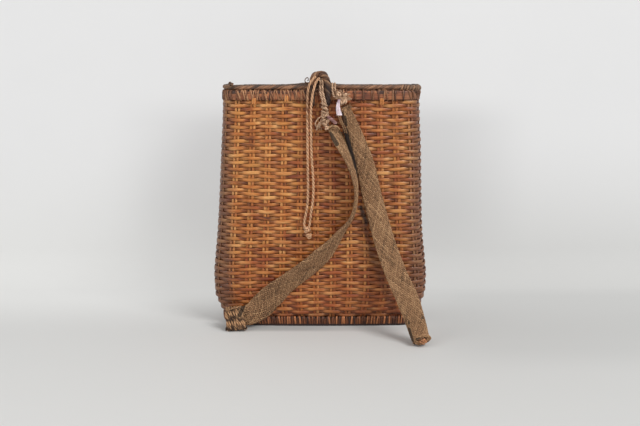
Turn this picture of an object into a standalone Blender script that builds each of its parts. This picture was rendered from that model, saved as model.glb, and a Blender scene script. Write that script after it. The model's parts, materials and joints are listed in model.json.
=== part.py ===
"""Pack basket: a tall woven basket with two plaited shoulder straps.

The front face, where the straps hang, looks along -Y. The origin is the centre
of the base, on the floor. All sizes are in metres.
"""

import math

import bmesh
import bpy
from mathutils import Matrix, Vector

# Clearances
gap = 0.0003
swing_gap = 0.0007

# Basket body, measured on the outside of the wall
height = 0.400
top_half_width = 0.1605
belly_half_width = 0.1800
top_half_depth = 0.0980
belly_half_depth = 0.1070
corner_radius = 0.0280
side_bow = 0.0030
wall_thickness = 0.0060
weave_depth = 0.0022
first_stake_x_share = -0.0367
base_thickness = 0.0050
wall_swell_shares = (
    (0.000, 0.12), (0.035, 0.21), (0.055, 0.42), (0.080, 0.62), (0.105, 0.79),
    (0.145, 0.96), (0.185, 1.00), (0.275, 0.92), (0.340, 0.80), (0.465, 0.58),
    (0.590, 0.42), (0.780, 0.19), (0.870, 0.06), (0.940, 0.01), (1.000, 0.00),
)

# Rim: two hoops, the sewn band over them and the twisted border on top
rim_border_diameter = 0.0075
rim_band_height = 0.0150
rim_hoop_thickness = 0.0022
rim_lashing_thickness = 0.0008

# Foot: edge hoop on the floor, a band of two hoops above it, sewn outside
foot_edge_height = 0.0035
foot_band_height = 0.0115
foot_hoop_thickness = 0.0030
foot_lashing_thickness = 0.0010

# Handle rope, laid over the middle of the front rim
handle_leg_radius = 0.00375
handle_crown_radius = 0.00525
handle_half_span = 0.0124
handle_centre_x = 0.0004
handle_rise = 0.0172
handle_leg_drop = 0.0305
handle_curl_radius = 0.0011
handle_straight_share = 0.33
handle_bend_shares = ((0.00, 0.00), (0.30, 0.00), (0.75, -0.20), (1.00, -0.85), (1.00, -1.60))

# Cords and knots
hanging_cord_radius = 0.0022
hanging_knot_radius = 0.0075
tie_cord_radius = 0.0017
left_knot_radius = 0.0075
right_knot_radius = 0.0085
cloth_width = 0.0085
cloth_length = 0.0215
cloth_thickness = 0.0012
cloth_wave = 0.0008
cloth_shift = 0.0065
cloth_top_width_share = 0.75
cloth_above_share = 0.15
knot_approach = 0.0065
leave_step_share = 0.80
end_clear_share = 1.60
hook_start_share = 0.15
hook_end_share = 0.85

# Plaited straps
strap_width = 0.0340
strap_thickness = 0.0060
strap_end_radius = 0.0112
strap_end_wall = 0.0024
strap_end_depth = 0.0120
strap_core_recess = 0.0020
strap_core_play = 0.0009
strap_neck_width_share = 0.34
strap_neck_reach_share = 0.30
strap_neck_swell_share = 0.35
strap_squareness = 3.2
round_squareness = 2.0

# Rope loop at the lower left corner
loop_rope_radius = 0.0031
loop_clearance = 0.0009
loop_turn_count = 4
loop_pitch = 0.0068
loop_flat_width = 0.0200
loop_centre_x_share = 0.824
loop_tilt_degrees = 16.0
loop_squareness = 2.6
anchor_radius = 0.0025

# Mesh fineness
ring_side_step_count = 5
ring_corner_step_count = 5
ring_column_count = 4 * (ring_side_step_count + ring_corner_step_count)
wall_row_count = 10
stake_count = 38
weft_row_count = 63
flat_weft_row_count = 2
outline_step_count = 2000
band_row_count = 2
strap_column_count = 16
strap_row_count = 38
knot_row_count = 2
round_row_count = 9
round_end_row_count = 2
ball_column_count = 16
ball_row_count = 10
cloth_column_count = 4
cloth_row_count = 10
cord_step_count = 2
loop_step_count = 1
stub_step_count = 3
stub_point_count = 5
hook_point_count = 7
arch_step_count = 12
handle_point_count = 46
curl_point_count = 28
hanging_cord_point_count = 40
left_tie_point_count = 24
right_tie_point_count = 28
loop_point_count = 24
curve_step_count = 12
sharp_degrees = 40.0
unit_grid_size = 1.0
weld_distance = 0.00001

# Cord routes: across, out from the rim's front, and down from the rim's top
left_strand_route = (
    (-0.0138, 0.0106, -0.0062), (-0.0164, 0.0102, -0.0012), (-0.0183, 0.0093, 0.0050),
    (-0.0194, 0.0080, 0.0120), (-0.0198, 0.0068, 0.0220), (-0.0200, 0.0060, 0.0380),
    (-0.0201, 0.0054, 0.0600), (-0.0200, 0.0052, 0.1000), (-0.0196, 0.0053, 0.1380),
    (-0.0195, 0.0058, 0.1680), (-0.0204, 0.0066, 0.1900), (-0.0224, 0.0080, 0.2040),
)
right_strand_route = (
    (-0.0062, 0.0112, -0.0048), (-0.0088, 0.0120, 0.0022), (-0.0110, 0.0121, 0.0110),
    (-0.0127, 0.0114, 0.0210), (-0.0138, 0.0109, 0.0300), (-0.0143, 0.0098, 0.0400),
    (-0.0144, 0.0076, 0.0540), (-0.0143, 0.0060, 0.0760), (-0.0136, 0.0054, 0.1100),
    (-0.0114, 0.0055, 0.1440), (-0.0106, 0.0058, 0.1680), (-0.0118, 0.0066, 0.1880),
    (-0.0142, 0.0080, 0.2020),
)
hanging_knot_place = (-0.0200, 0.2370)
left_tie_route = (
    (0.0024, 0.0046, -0.0035), (0.0018, 0.0052, 0.0040), (0.0026, 0.0064, 0.0120),
    (0.0050, 0.0082, 0.0210), (0.0066, 0.0096, 0.0290), (0.0077, 0.0092, 0.0370),
)
left_tie_spread = 0.0020
left_knot_place = (0.0085, 0.0580)
right_tie_routes = (
    ((0.0193, 0.0015, 0.0050), (0.0197, 0.0025, 0.0095), (0.0209, 0.0030, 0.0145),
     (0.0232, 0.0036, 0.0190)),
    ((0.0235, 0.0015, 0.0050), (0.0245, 0.0026, 0.0090), (0.0264, 0.0034, 0.0122)),
)
right_knot_place = (0.0355, 0.0240)
handle_curl_route = (
    (-0.0120, -0.0062, -0.0016), (-0.0170, -0.0052, -0.0017), (-0.0220, -0.0022, -0.0032),
    (-0.0243, 0.0008, -0.0070), (-0.0228, 0.0028, -0.0110), (-0.0199, 0.0034, -0.0124),
    (-0.0176, 0.0032, -0.0100), (-0.0188, 0.0020, -0.0072), (-0.0208, 0.0008, -0.0066),
)

# Where each cord starts on the handle rope: angles along its arch from the left
# foot, and how far under the rope's front it lies there, all in degrees
left_strand_degrees = ((52.0, 8.0), (36.0, 4.0))
right_strand_degrees = ((77.0, 42.0),)
left_tie_degrees = (72.0, 117.0)

# The direction from each knot's centre to the cord that meets it, as shares
left_strand_end_shares = (-0.42, 0.22, 0.88)
right_strand_end_shares = (0.22, 0.24, 0.94)
left_tie_end_shares = ((-0.30, 0.0, 1.0), (0.30, 0.0, 1.0))
right_tie_end_shares = ((-0.85, 0.35, 0.38), (-0.35, 0.45, 0.82))

# Strap routes: across as a share of the belly's half width, height as a share of
# the height, standoff and width as shares of the strap's width, and the turn of
# the strap's flat out of the wall's plane, in degrees
left_strap_shares = (
    (0.118, 0.822, 0.00, 0.62, 35.0), (0.173, 0.780, 0.00, 0.90, 54.0),
    (0.236, 0.732, 0.00, 0.97, 64.0), (0.286, 0.675, 0.00, 1.00, 73.0),
    (0.318, 0.615, 0.00, 1.00, 80.0), (0.327, 0.574, 0.00, 1.00, 85.0),
    (0.316, 0.519, 0.00, 1.00, 85.0), (0.281, 0.467, 0.00, 1.00, 80.0),
    (0.190, 0.412, 0.00, 1.00, 73.0), (0.072, 0.342, 0.00, 1.00, 63.0),
    (-0.083, 0.273, 0.00, 1.00, 51.0), (-0.264, 0.210, 0.00, 1.00, 35.0),
    (-0.461, 0.137, 0.00, 1.00, 15.0), (-0.560, 0.085, 0.00, 0.98, 5.0),
)
left_tail_narrowing = 0.0130
right_strap_shares = (
    (0.302, 0.823, 0.00, 0.64, 0.0), (0.352, 0.757, 0.00, 0.78, 0.0),
    (0.402, 0.691, 0.00, 0.88, 0.0), (0.461, 0.573, 0.00, 0.94, 0.0),
    (0.525, 0.465, 0.20, 0.96, 0.0), (0.593, 0.360, 0.46, 1.00, 0.0),
    (0.663, 0.274, 0.82, 1.03, 0.0), (0.738, 0.196, 1.46, 1.00, 0.0),
    (0.796, 0.130, 2.08, 0.92, 0.0),
)
right_end_shares = ((0.846, 0.066, 2.42), (0.878, 0.033, 2.86))
right_sink_share = 0.60
tail_turn_share = 0.25

parts = None
guides = None


def clear_scene():
    for item in list(bpy.data.objects):
        bpy.data.objects.remove(item, do_unlink=True)


def make_collections():
    global parts, guides
    parts = bpy.data.collections.new("pack_basket")
    guides = bpy.data.collections.new("guides")
    bpy.context.scene.collection.children.link(parts)
    bpy.context.scene.collection.children.link(guides)


def make_material(name, colour, roughness):
    material = bpy.data.materials.new(name)
    material.use_nodes = True
    shader = material.node_tree.nodes["Principled BSDF"]
    shader.inputs["Base Color"].default_value = (*colour, 1.0)
    shader.inputs["Roughness"].default_value = roughness
    shader.inputs["Metallic"].default_value = 0.0
    return material


def finish(item, material, origin):
    """Put an object's origin at a point, and give it its material."""
    origin = Vector(origin)
    item.data.transform(Matrix.Translation(-origin))
    item.location = origin
    item.data.materials.append(material)
    return item


def add_mesh(name, mesh_data):
    mesh = bpy.data.meshes.new(name)
    mesh_data.to_mesh(mesh)
    mesh_data.free()
    mesh.shade_smooth()
    mesh.set_sharp_from_angle(angle=math.radians(sharp_degrees))
    item = bpy.data.objects.new(name, mesh)
    parts.objects.link(item)
    return item


def bent_grid(columns, rows, place, close_round):
    """A grid whose points are placed by a formula of two shares from 0 to 1."""
    mesh_data = bmesh.new()
    bmesh.ops.create_grid(
        mesh_data, x_segments=columns, y_segments=rows, size=unit_grid_size)
    for vertex in mesh_data.verts:
        around = (vertex.co.x + unit_grid_size) / (2 * unit_grid_size)
        along = (vertex.co.y + unit_grid_size) / (2 * unit_grid_size)
        vertex.co = place(around, along)
    if close_round:
        bmesh.ops.remove_doubles(mesh_data, verts=mesh_data.verts, dist=weld_distance)
    return mesh_data


def blend_table(table, position):
    """Smooth value of a table of (position, value) rows."""
    rows = list(table)
    if position <= rows[0][0]:
        return rows[0][1]
    if position >= rows[-1][0]:
        return rows[-1][1]
    for index in range(len(rows) - 1):
        start, end = rows[index], rows[index + 1]
        if position <= end[0]:
            break
    before = rows[max(index - 1, 0)]
    after = rows[min(index + 2, len(rows) - 1)]
    width = end[0] - start[0]
    share = (position - start[0]) / width
    start_slope = (end[1] - before[1]) / (end[0] - before[0]) * width
    end_slope = (after[1] - start[1]) / (after[0] - start[0]) * width
    square = share * share
    cube = square * share
    return ((2 * cube - 3 * square + 1) * start[1] + (cube - 2 * square + share) * start_slope
            + (3 * square - 2 * cube) * end[1] + (cube - square) * end_slope)


def swell(level):
    return blend_table(wall_swell_shares, level / height)


def half_width(level):
    return top_half_width + (belly_half_width - top_half_width) * swell(level)


def half_depth(level):
    return top_half_depth + (belly_half_depth - top_half_depth) * swell(level)


def ring_point(around, level, offset):
    """Point on the basket's outline at a level, moved outward by an offset."""
    radius = corner_radius + offset
    reach_x = half_width(level) - side_bow - corner_radius
    reach_y = half_depth(level) - side_bow - corner_radius
    side_share = ring_side_step_count / (ring_side_step_count + ring_corner_step_count)
    turn = (around * 4) % 4
    side = int(turn)
    part = turn - side
    half_long = reach_x if side % 2 == 0 else reach_y
    half_short = reach_y if side % 2 == 0 else reach_x
    if part < side_share:
        step = 2 * part / side_share - 1
        x = step * half_long
        y = -(half_short + radius + side_bow * (1 - step * step))
    else:
        angle = (part - side_share) / (1 - side_share) * math.pi / 2
        x = half_long + radius * math.sin(angle)
        y = -(half_short + radius * math.cos(angle))
    for _ in range(side):
        x, y = -y, x
    return Vector((x, y, level))


def front_skin(x, level, offset):
    """Y of the front surface at a place across and a level."""
    radius = corner_radius + offset
    reach_x = half_width(level) - side_bow - corner_radius
    reach_y = half_depth(level) - side_bow - corner_radius
    across = abs(x)
    if across <= reach_x:
        step = across / reach_x
        return -(reach_y + radius + side_bow * (1 - step * step))
    beyond = min(across - reach_x, radius)
    return -(reach_y + math.sqrt(radius * radius - beyond * beyond))


# Levels and offsets that follow from the sizes above
rim_border_level = height - rim_border_diameter / 2
rim_lashing_top = height - rim_border_diameter - gap
rim_hoop_top = rim_lashing_top - rim_lashing_thickness - gap
rim_hoop_bottom = rim_hoop_top - rim_band_height
rim_hoop_offset = gap + rim_hoop_thickness
rim_skin_offset = rim_hoop_offset + gap + rim_lashing_thickness
rim_front = -front_skin(0.0, rim_hoop_top, rim_skin_offset)
rim_border_inset = wall_thickness / 2
rim_border_y = -(top_half_depth - rim_border_inset)
foot_wall_bottom = foot_edge_height + gap
foot_band_top = foot_wall_bottom + foot_band_height
foot_hoop_offset = gap + foot_hoop_thickness
foot_skin_offset = foot_hoop_offset + gap + foot_lashing_thickness
foot_skin_top = foot_band_top + 2 * foot_lashing_thickness


def outer_skin(x, level):
    """Y of whatever stands outermost on the front at a place."""
    if level < foot_skin_top:
        return front_skin(x, level, foot_skin_offset)
    if level > rim_hoop_bottom - gap:
        return front_skin(x, level, rim_skin_offset)
    return front_skin(x, level, 0.0)


def ring_shell(name, rows, thickness, material):
    """A shell round the basket: rows of its outer face, thickened inward."""
    last = len(rows) - 1

    def place(around, along):
        offset, level = rows[int(round(along * last))]
        return ring_point(around, level, offset)

    item = add_mesh(name, bent_grid(ring_column_count, last, place, True))
    thicken = item.modifiers.new("thickness", "SOLIDIFY")
    thicken.thickness = thickness
    thicken.offset = -1.0
    return finish(item, material, (0.0, 0.0, rows[0][1]))


def ring_band(name, outer, inner, levels, material):
    """A closed band round the basket between two offsets from the wall."""
    rows = [*at_offset(outer, levels), *at_offset(inner, reversed(levels)), (outer, levels[0])]
    last = len(rows) - 1

    def place(around, along):
        offset, level = rows[int(round(along * last))]
        return ring_point(around, level, offset)

    item = add_mesh(name, bent_grid(ring_column_count, last, place, True))
    return finish(item, material, (0.0, 0.0, levels[0]))


def even_levels(bottom, top, steps):
    return [bottom + (top - bottom) * step / steps for step in range(steps + 1)]


def at_offset(offset, levels):
    return [(offset, level) for level in levels]


def smooth_route(points, count):
    """Evenly spaced points on a smooth curve through the route's points."""
    ends = [points[0] * 2 - points[1], *points, points[-1] * 2 - points[-2]]
    fine = []
    for index in range(1, len(ends) - 2):
        first, start, end, last = ends[index - 1:index + 3]
        for step in range(curve_step_count):
            share = step / curve_step_count
            fine.append((start * 2 + (end - first) * share
                         + (first * 2 - start * 5 + end * 4 - last) * share ** 2
                         + (start * 3 - first - end * 3 + last) * share ** 3) / 2)
    fine.append(points[-1].copy())
    lengths = [0.0]
    for index in range(1, len(fine)):
        lengths.append(lengths[-1] + (fine[index] - fine[index - 1]).length)
    even = []
    index = 0
    for step in range(count):
        target = lengths[-1] * step / (count - 1)
        while index < len(fine) - 2 and lengths[index + 1] < target:
            index += 1
        share = (target - lengths[index]) / (lengths[index + 1] - lengths[index])
        even.append(fine[index].lerp(fine[index + 1], min(share, 1.0)))
    return even


def square_ends(route, count):
    """Smooth points that keep the route's first and last steps as they are."""
    first_step = (route[1] - route[0]).length * end_clear_share
    last_step = (route[-2] - route[-1]).length * end_clear_share
    inner = [point for point in smooth_route(route, count)
             if (point - route[0]).length > first_step
             and (point - route[-1]).length > last_step]
    return [route[0], route[1], *inner, route[-2], route[-1]]


def tube(name, points, radii, resolution, material, closed=False):
    """A round tube along points; radii is one radius or one for each point."""
    if not isinstance(radii, (list, tuple)):
        radii = [radii] * len(points)
    widest = max(radii)
    curve = bpy.data.curves.new(name, "CURVE")
    curve.dimensions = "3D"
    curve.bevel_depth = widest
    curve.bevel_resolution = resolution
    curve.use_fill_caps = not closed
    curve.twist_mode = "MINIMUM"
    spline = curve.splines.new("POLY")
    spline.points.add(len(points) - 1)
    origin = points[0]
    for point, place, radius in zip(spline.points, points, radii):
        point.co = (*(place - origin), 1.0)
        point.radius = radius / widest
    spline.use_cyclic_u = closed
    spline.use_smooth = True
    curve.materials.append(material)
    item = bpy.data.objects.new(name, curve)
    item.location = origin
    parts.objects.link(item)
    return item


def ball(name, centre, radius, material):
    mesh_data = bmesh.new()
    bmesh.ops.create_uvsphere(mesh_data, u_segments=ball_column_count, v_segments=ball_row_count,
                              radius=radius)
    item = add_mesh(name, mesh_data)
    item.location = centre
    item.data.materials.append(material)
    return item


def from_rim(across, out, drop):
    """A point given from the middle of the rim's front top edge."""
    return Vector((across, -rim_front - out, height - drop))


def knot_centre(place, radius):
    across, drop = place
    level = height - drop
    skin = min(outer_skin(across, level + radius * side) for side in (-1, 0, 1))
    return Vector((across, skin - gap - radius, level))


def make_pivot(name, place, children):
    """An empty on a joint's axis, which carries the body's pieces and pivots."""
    pivot = bpy.data.objects.new(name, None)
    pivot.location = place
    guides.objects.link(pivot)
    bpy.context.view_layer.update()
    for item in children:
        item.parent = pivot
        item.matrix_parent_inverse = pivot.matrix_world.inverted()
    return pivot


def outline_distances():
    """Distance round the outline at mid height, at even steps of the turn round it."""
    points = [ring_point(index / outline_step_count, height / 2, 0.0)
              for index in range(outline_step_count + 1)]
    distances = [0.0]
    for before, after in zip(points, points[1:]):
        distances.append(distances[-1] + (after - before).length)
    return distances


def weave_columns():
    """The wall's columns in order: the turn round the outline, and the place among the stakes."""
    distances = outline_distances()
    stake_pitch = distances[-1] / stake_count
    side_share = ring_side_step_count / (ring_side_step_count + ring_corner_step_count)
    reach = half_width(height / 2) - side_bow - corner_radius
    first_x = first_stake_x_share * half_width(height / 2)
    first_turn = (first_x / reach + 1) / 2 * side_share / 4

    def distance_at(turn):
        step = turn * outline_step_count
        low = min(int(step), outline_step_count - 1)
        return distances[low] + (distances[low + 1] - distances[low]) * (step - low)

    def turn_at(distance):
        index = next(number for number, reached in enumerate(distances) if reached > distance)
        rest = (distance - distances[index - 1]) / (distances[index] - distances[index - 1])
        return (index - 1 + rest) / outline_step_count

    first = distance_at(first_turn)
    turns = [(side + side_share + (1 - side_share) * step / ring_corner_step_count) / 4
             for side in range(4) for step in range(ring_corner_step_count + 1)]
    corners = [distance_at(turn % 1.0) for turn in turns]
    for stake in range(stake_count):
        distance = (first + stake * stake_pitch) % distances[-1]
        turn = turn_at(distance)
        on_side = (turn * 4) % 1 < side_share
        clear = min(abs(distance - corner) for corner in corners) > stake_pitch / 4
        if on_side and clear:
            turns.append(turn)
    return [(turn, (distance_at(turn % 1.0) - first) / stake_pitch) for turn in sorted(turns)]


def make_wall(material):
    """The wall's sheet, its outer face weaving in and out at the stakes, row by row."""
    foot = even_levels(foot_wall_bottom, foot_band_top, band_row_count)
    rim = even_levels(rim_hoop_bottom, rim_hoop_top, band_row_count)
    pitch = (rim_hoop_bottom - foot_band_top) / weft_row_count
    columns = weave_columns()
    inner = [*foot, *even_levels(foot_band_top, rim_hoop_bottom, wall_row_count)[1:], *rim[1:]]
    rows = [(0.0, level, 0.0) for level in foot]
    for row in range(weft_row_count):
        woven = flat_weft_row_count <= row < weft_row_count - flat_weft_row_count
        sign = (1 if row % 2 == 0 else -1) if woven else 0
        rows.append((0.0, foot_band_top + pitch * (row + 1 / 2), sign))
    rows += [(0.0, level, 0.0) for level in rim]
    rows += [(-wall_thickness, level, 0.0) for level in reversed(inner)]
    rows.append(rows[0])
    last = len(rows) - 1

    def place(around, along):
        turn, stake = columns[int(round(around * len(columns))) % len(columns)]
        offset, level, sign = rows[int(round(along * last))]
        if sign:
            offset -= weave_depth * (1 - sign * math.cos(math.pi * stake)) / 2
        return ring_point(turn, level, offset)

    item = add_mesh("woven_wall", bent_grid(len(columns), last, place, True))
    return finish(item, material, (0.0, 0.0, foot_wall_bottom))


def flat_ring(name, offsets, bottom, thickness, material):
    """A flat slab with the basket's outline, or a ring where two offsets are given."""
    outline = bpy.data.curves.new(name, "CURVE")
    outline.dimensions = "2D"
    outline.fill_mode = "BOTH"
    outline.extrude = thickness / 2
    for offset in offsets:
        spline = outline.splines.new("POLY")
        spline.points.add(ring_column_count - 1)
        for index, point in enumerate(spline.points):
            place = ring_point(index / ring_column_count, 0.0, offset)
            point.co = (place.x, place.y, 0.0, 1.0)
        spline.use_cyclic_u = True
    outline.materials.append(material)
    item = bpy.data.objects.new(name, outline)
    item.location = (0.0, 0.0, bottom + thickness / 2)
    parts.objects.link(item)
    return item


def make_base(material):
    """A flat panel that fills the foot, its underside on the floor."""
    inset = -(wall_thickness + 2 * gap)
    return flat_ring("woven_base", (inset,), 0.0, base_thickness, material)


def make_rim(hoop_material, lashing_material, border_material):
    inside = -(wall_thickness + gap)
    levels = even_levels(rim_hoop_bottom, rim_hoop_top, band_row_count)
    ring_band("rim_outer_hoop", rim_hoop_offset, gap, levels, hoop_material)
    ring_band("rim_inner_hoop", inside, inside - rim_hoop_thickness, levels, hoop_material)
    inner_skin = inside - rim_hoop_thickness - gap - rim_lashing_thickness
    levels = even_levels(rim_hoop_bottom, rim_lashing_top, band_row_count)
    lashing = ring_shell("rim_lashing", [*at_offset(rim_skin_offset, levels),
                                         *at_offset(inner_skin, reversed(levels))],
                         rim_lashing_thickness, lashing_material)
    lashing.modifiers["thickness"].use_even_offset = True
    border = [ring_point(index / ring_column_count, rim_border_level, -rim_border_inset)
              for index in range(ring_column_count)]
    tube("rim_border", border, rim_border_diameter / 2, cord_step_count, border_material,
         closed=True)


def make_foot(hoop_material, lashing_material):
    inside = -(wall_thickness + 2 * gap)
    levels = even_levels(foot_wall_bottom, foot_band_top, band_row_count)
    flat_ring("foot_edge_hoop", (foot_hoop_thickness, -wall_thickness),
              0.0, foot_edge_height, hoop_material)
    ring_band("foot_outer_hoop", foot_hoop_offset, gap, levels, hoop_material)
    ring_band("foot_lashing", foot_skin_offset, foot_hoop_offset + gap, levels,
              lashing_material)
    inner_levels = even_levels(base_thickness + gap, foot_band_top, band_row_count)
    ring_band("foot_inner_hoop", inside, inside - foot_hoop_thickness, inner_levels,
              hoop_material)


def handle_arch(angle):
    """A point on the handle rope's arch, and the rope's radius there."""
    across = handle_centre_x - handle_half_span * math.cos(angle)
    spring_drop = handle_half_span - handle_rise
    lift = math.sin(angle)
    radius = handle_leg_radius + (handle_crown_radius - handle_leg_radius) * lift
    place = from_rim(across, gap + handle_leg_radius, spring_drop - handle_half_span * lift)
    return place, radius


def lie_on_handle(starts, cord_radius):
    """Points where a cord lies against the front of the handle rope."""
    points = []
    for along, under in starts:
        angle, dip = math.radians(along), math.radians(under)
        place, radius = handle_arch(angle)
        inward = Vector((math.cos(angle), 0.0, -math.sin(angle)))
        direction = inward * math.sin(dip) - Vector((0.0, math.cos(dip), 0.0))
        points.append(place + direction * (radius + gap + cord_radius))
    return points


def leave_handle(along, cord_radius):
    """The first points of a cord that leaves the handle rope's inner side square."""
    angle = math.radians(along)
    place, radius = handle_arch(angle)
    inward = Vector((math.cos(angle), 0.0, -math.sin(angle)))
    first = place + inward * (radius + swing_gap)
    return [first, first + inward * cord_radius * leave_step_share]


def make_handle(material):
    """A rope that comes out of the wall under the rim, over it and back in."""
    plane_out = gap + handle_leg_radius
    spring_drop = handle_half_span - handle_rise
    leg_wall = -front_skin(handle_centre_x + handle_half_span, height - handle_leg_drop, 0.0)
    start_out = leg_wall + gap - rim_front
    bend = plane_out - start_out
    leg = [(start_out + bend * out, handle_leg_drop + bend * drop)
           for out, drop in handle_bend_shares]
    leg += [(plane_out, (handle_leg_drop + spring_drop) / 2),
            (plane_out, spring_drop + handle_half_span * handle_straight_share)]
    left = [from_rim(handle_centre_x - handle_half_span, out, drop) for out, drop in leg]
    right = [from_rim(handle_centre_x + handle_half_span, out, drop) for out, drop in leg]
    crown = [handle_arch(math.pi * step / arch_step_count)[0] for step in range(arch_step_count + 1)]
    points = smooth_route([*left, *crown, *reversed(right)], handle_point_count)
    radii = []
    for point in points:
        lift = max(0.0, (point.z - (height - spring_drop)) / handle_half_span)
        radii.append(handle_leg_radius + (handle_crown_radius - handle_leg_radius) * lift)
    tube("handle_loop", points, radii, cord_step_count, material)
    return handle_arch(math.pi / 2)[0]


def make_handle_curl(material):
    points = [from_rim(*place) for place in handle_curl_route]
    tube("handle_curl", smooth_route(points, curl_point_count), handle_curl_radius, cord_step_count,
         material)


def cord_to_ball(route, centre, radius, direction):
    """Route points that end square on a ball, a gap away from it."""
    direction = Vector(direction).normalized()
    reach = radius + gap
    return [*route, centre + direction * (reach + knot_approach), centre + direction * reach]


def make_hanging_cord(cord_material):
    centre = knot_centre(hanging_knot_place, hanging_knot_radius)
    pieces = [ball("hanging_knot", centre, hanging_knot_radius, cord_material)]
    for label, starts, places, end in (
            ("left", left_strand_degrees, left_strand_route, left_strand_end_shares),
            ("right", right_strand_degrees, right_strand_route, right_strand_end_shares)):
        route = [*lie_on_handle(starts, hanging_cord_radius),
                 *(from_rim(*place) for place in places)]
        route = cord_to_ball(route, centre, hanging_knot_radius, end)
        pieces.append(tube("hanging_cord_" + label, square_ends(route, hanging_cord_point_count),
                           hanging_cord_radius, cord_step_count, cord_material))
    return pieces


def strap_section(centre, forward, turn, half_wide, half_thick, squareness, around):
    """A point on a strap's rounded section."""
    wall_out = Vector((0.0, -1.0, 0.0))
    flat = forward.cross(wall_out).normalized()
    out = flat.cross(forward).normalized()
    if out.y > 0:
        out = -out
    wide = flat * math.cos(turn) + out * math.sin(turn)
    thick = wide.cross(forward).normalized()
    angle = 2 * math.pi * around
    power = 2 / squareness
    across = math.copysign(abs(math.cos(angle)) ** power, math.cos(angle)) * half_wide
    proud = math.copysign(abs(math.sin(angle)) ** power, math.sin(angle)) * half_thick
    return centre + wide * across + thick * proud


def strap_stations(start, start_direction, shares, tail):
    """Smooth stations of a strap: place, forward, width share and turn."""
    neck = strap_width * strap_neck_reach_share
    places = [start, start + start_direction * neck]
    widths = [strap_neck_width_share, (strap_neck_width_share + shares[0][3]) / 2]
    turns = [shares[0][4], shares[0][4]]
    for across, level, standoff, width, turn in shares:
        x = across * belly_half_width
        z = level * height
        y = front_skin(0.0, z, 0.0) - gap - strap_thickness / 2 - standoff * strap_width
        places.append(Vector((x, y, z)))
        widths.append(width)
        turns.append(turn)
    for place, width in tail:
        places.append(place)
        widths.append(width)
        turns.append(turns[-1] * tail_turn_share)
    lengths = [0.0]
    for index in range(1, len(places)):
        lengths.append(lengths[-1] + (places[index] - places[index - 1]).length)
    total = lengths[-1]
    width_table = [(length / total, width) for length, width in zip(lengths, widths)]
    turn_table = [(length / total, turn) for length, turn in zip(lengths, turns)]
    route = smooth_route(places, strap_row_count + 1)
    stations = []
    for index, place in enumerate(route):
        before = route[max(index - 1, 0)]
        after = route[min(index + 1, strap_row_count)]
        along = index / strap_row_count
        width = blend_table(width_table, along)
        turn = math.radians(blend_table(turn_table, along))
        stations.append([place, (after - before).normalized(), width, turn])
    stations[0][1] = start_direction
    return stations


def half_thickness_at(width_share):
    """A strap drawn narrower at its neck gets thicker."""
    spare = max(0.0, 1.0 - width_share)
    return strap_thickness / 2 * (1 + spare * strap_neck_swell_share)


def clear_of_wall(stations):
    """Move stations straight out until the whole section clears the basket."""
    for station in stations[knot_row_count:]:
        place, forward, width, turn = station
        need = 0.0
        for step in range(strap_column_count):
            point = strap_section(place, forward, turn, width * strap_width / 2,
                                  half_thickness_at(width), strap_squareness,
                                  step / strap_column_count)
            skin = outer_skin(point.x, max(point.z, 0.0))
            need = max(need, point.y - (skin - gap))
        station[0] = place - Vector((0.0, need, 0.0))


def strap_mesh(name, stations, squareness_of, size_of, material, origin):
    last = len(stations) - 1

    def place(around, along):
        index = min(int(round(along * last)), last)
        centre, forward, width, turn = stations[index]
        half_wide, half_thick = size_of(index, width)
        return strap_section(centre, forward, turn, half_wide, half_thick,
                             squareness_of(index), around)

    mesh_data = bent_grid(strap_column_count, last, place, True)
    edges = [edge for edge in mesh_data.edges if edge.is_boundary]
    bmesh.ops.holes_fill(mesh_data, edges=edges, sides=0)
    bmesh.ops.recalc_face_normals(mesh_data, faces=mesh_data.faces)
    return finish(add_mesh(name, mesh_data), material, origin)


def make_left_side(cord_material, strap_material, rope_material):
    centre = knot_centre(left_knot_place, left_knot_radius)
    pieces = [ball("left_tie_knot", centre, left_knot_radius, cord_material)]
    for side, label, angle, end in zip((-1, 1), ("left", "right"), left_tie_degrees,
                                       left_tie_end_shares):
        route = leave_handle(angle, tie_cord_radius)
        route += [from_rim(across + side * left_tie_spread, out, drop)
                  for across, out, drop in left_tie_route]
        route = cord_to_ball(route, centre, left_knot_radius, end)
        pieces.append(tube("left_tie_cord_" + label, square_ends(route, left_tie_point_count),
                           tie_cord_radius, cord_step_count, cord_material))

    first_x, first_z = left_strap_shares[0][0], left_strap_shares[0][1]
    aim = Vector((first_x * belly_half_width, centre.y, first_z * height)) - centre
    aim.normalize()
    start = centre + aim * (left_knot_radius + gap)
    loop_centre, loop_axis = loop_frame()
    loop_reach = loop_turn_count * loop_pitch / 2 + loop_rope_radius
    tail_share = loop_flat_width / strap_width
    tail = [(loop_centre - loop_axis * loop_reach, tail_share),
            (loop_centre, tail_share),
            (loop_centre + loop_axis * loop_reach, tail_share)]
    stations = strap_stations(start, aim, left_strap_shares, tail)
    stations[-1][1] = loop_axis
    before_tail = [station for station in stations
                   if (station[0] - loop_centre).dot(loop_axis) < -loop_reach - left_tail_narrowing]
    clear_of_wall(before_tail)
    for station in stations[len(before_tail):]:
        station[2] = min(station[2], tail_share
                         + max(0.0, -loop_reach - (station[0] - loop_centre).dot(loop_axis))
                         / strap_width)
        station[3] = 0.0

    def size_of(index, width):
        return width * strap_width / 2, half_thickness_at(width)

    pieces.append(strap_mesh("left_strap", stations, lambda index: strap_squareness,
                             size_of, strap_material, centre))
    pieces.append(make_corner_loop(loop_centre, loop_axis, rope_material))
    return pieces


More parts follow.
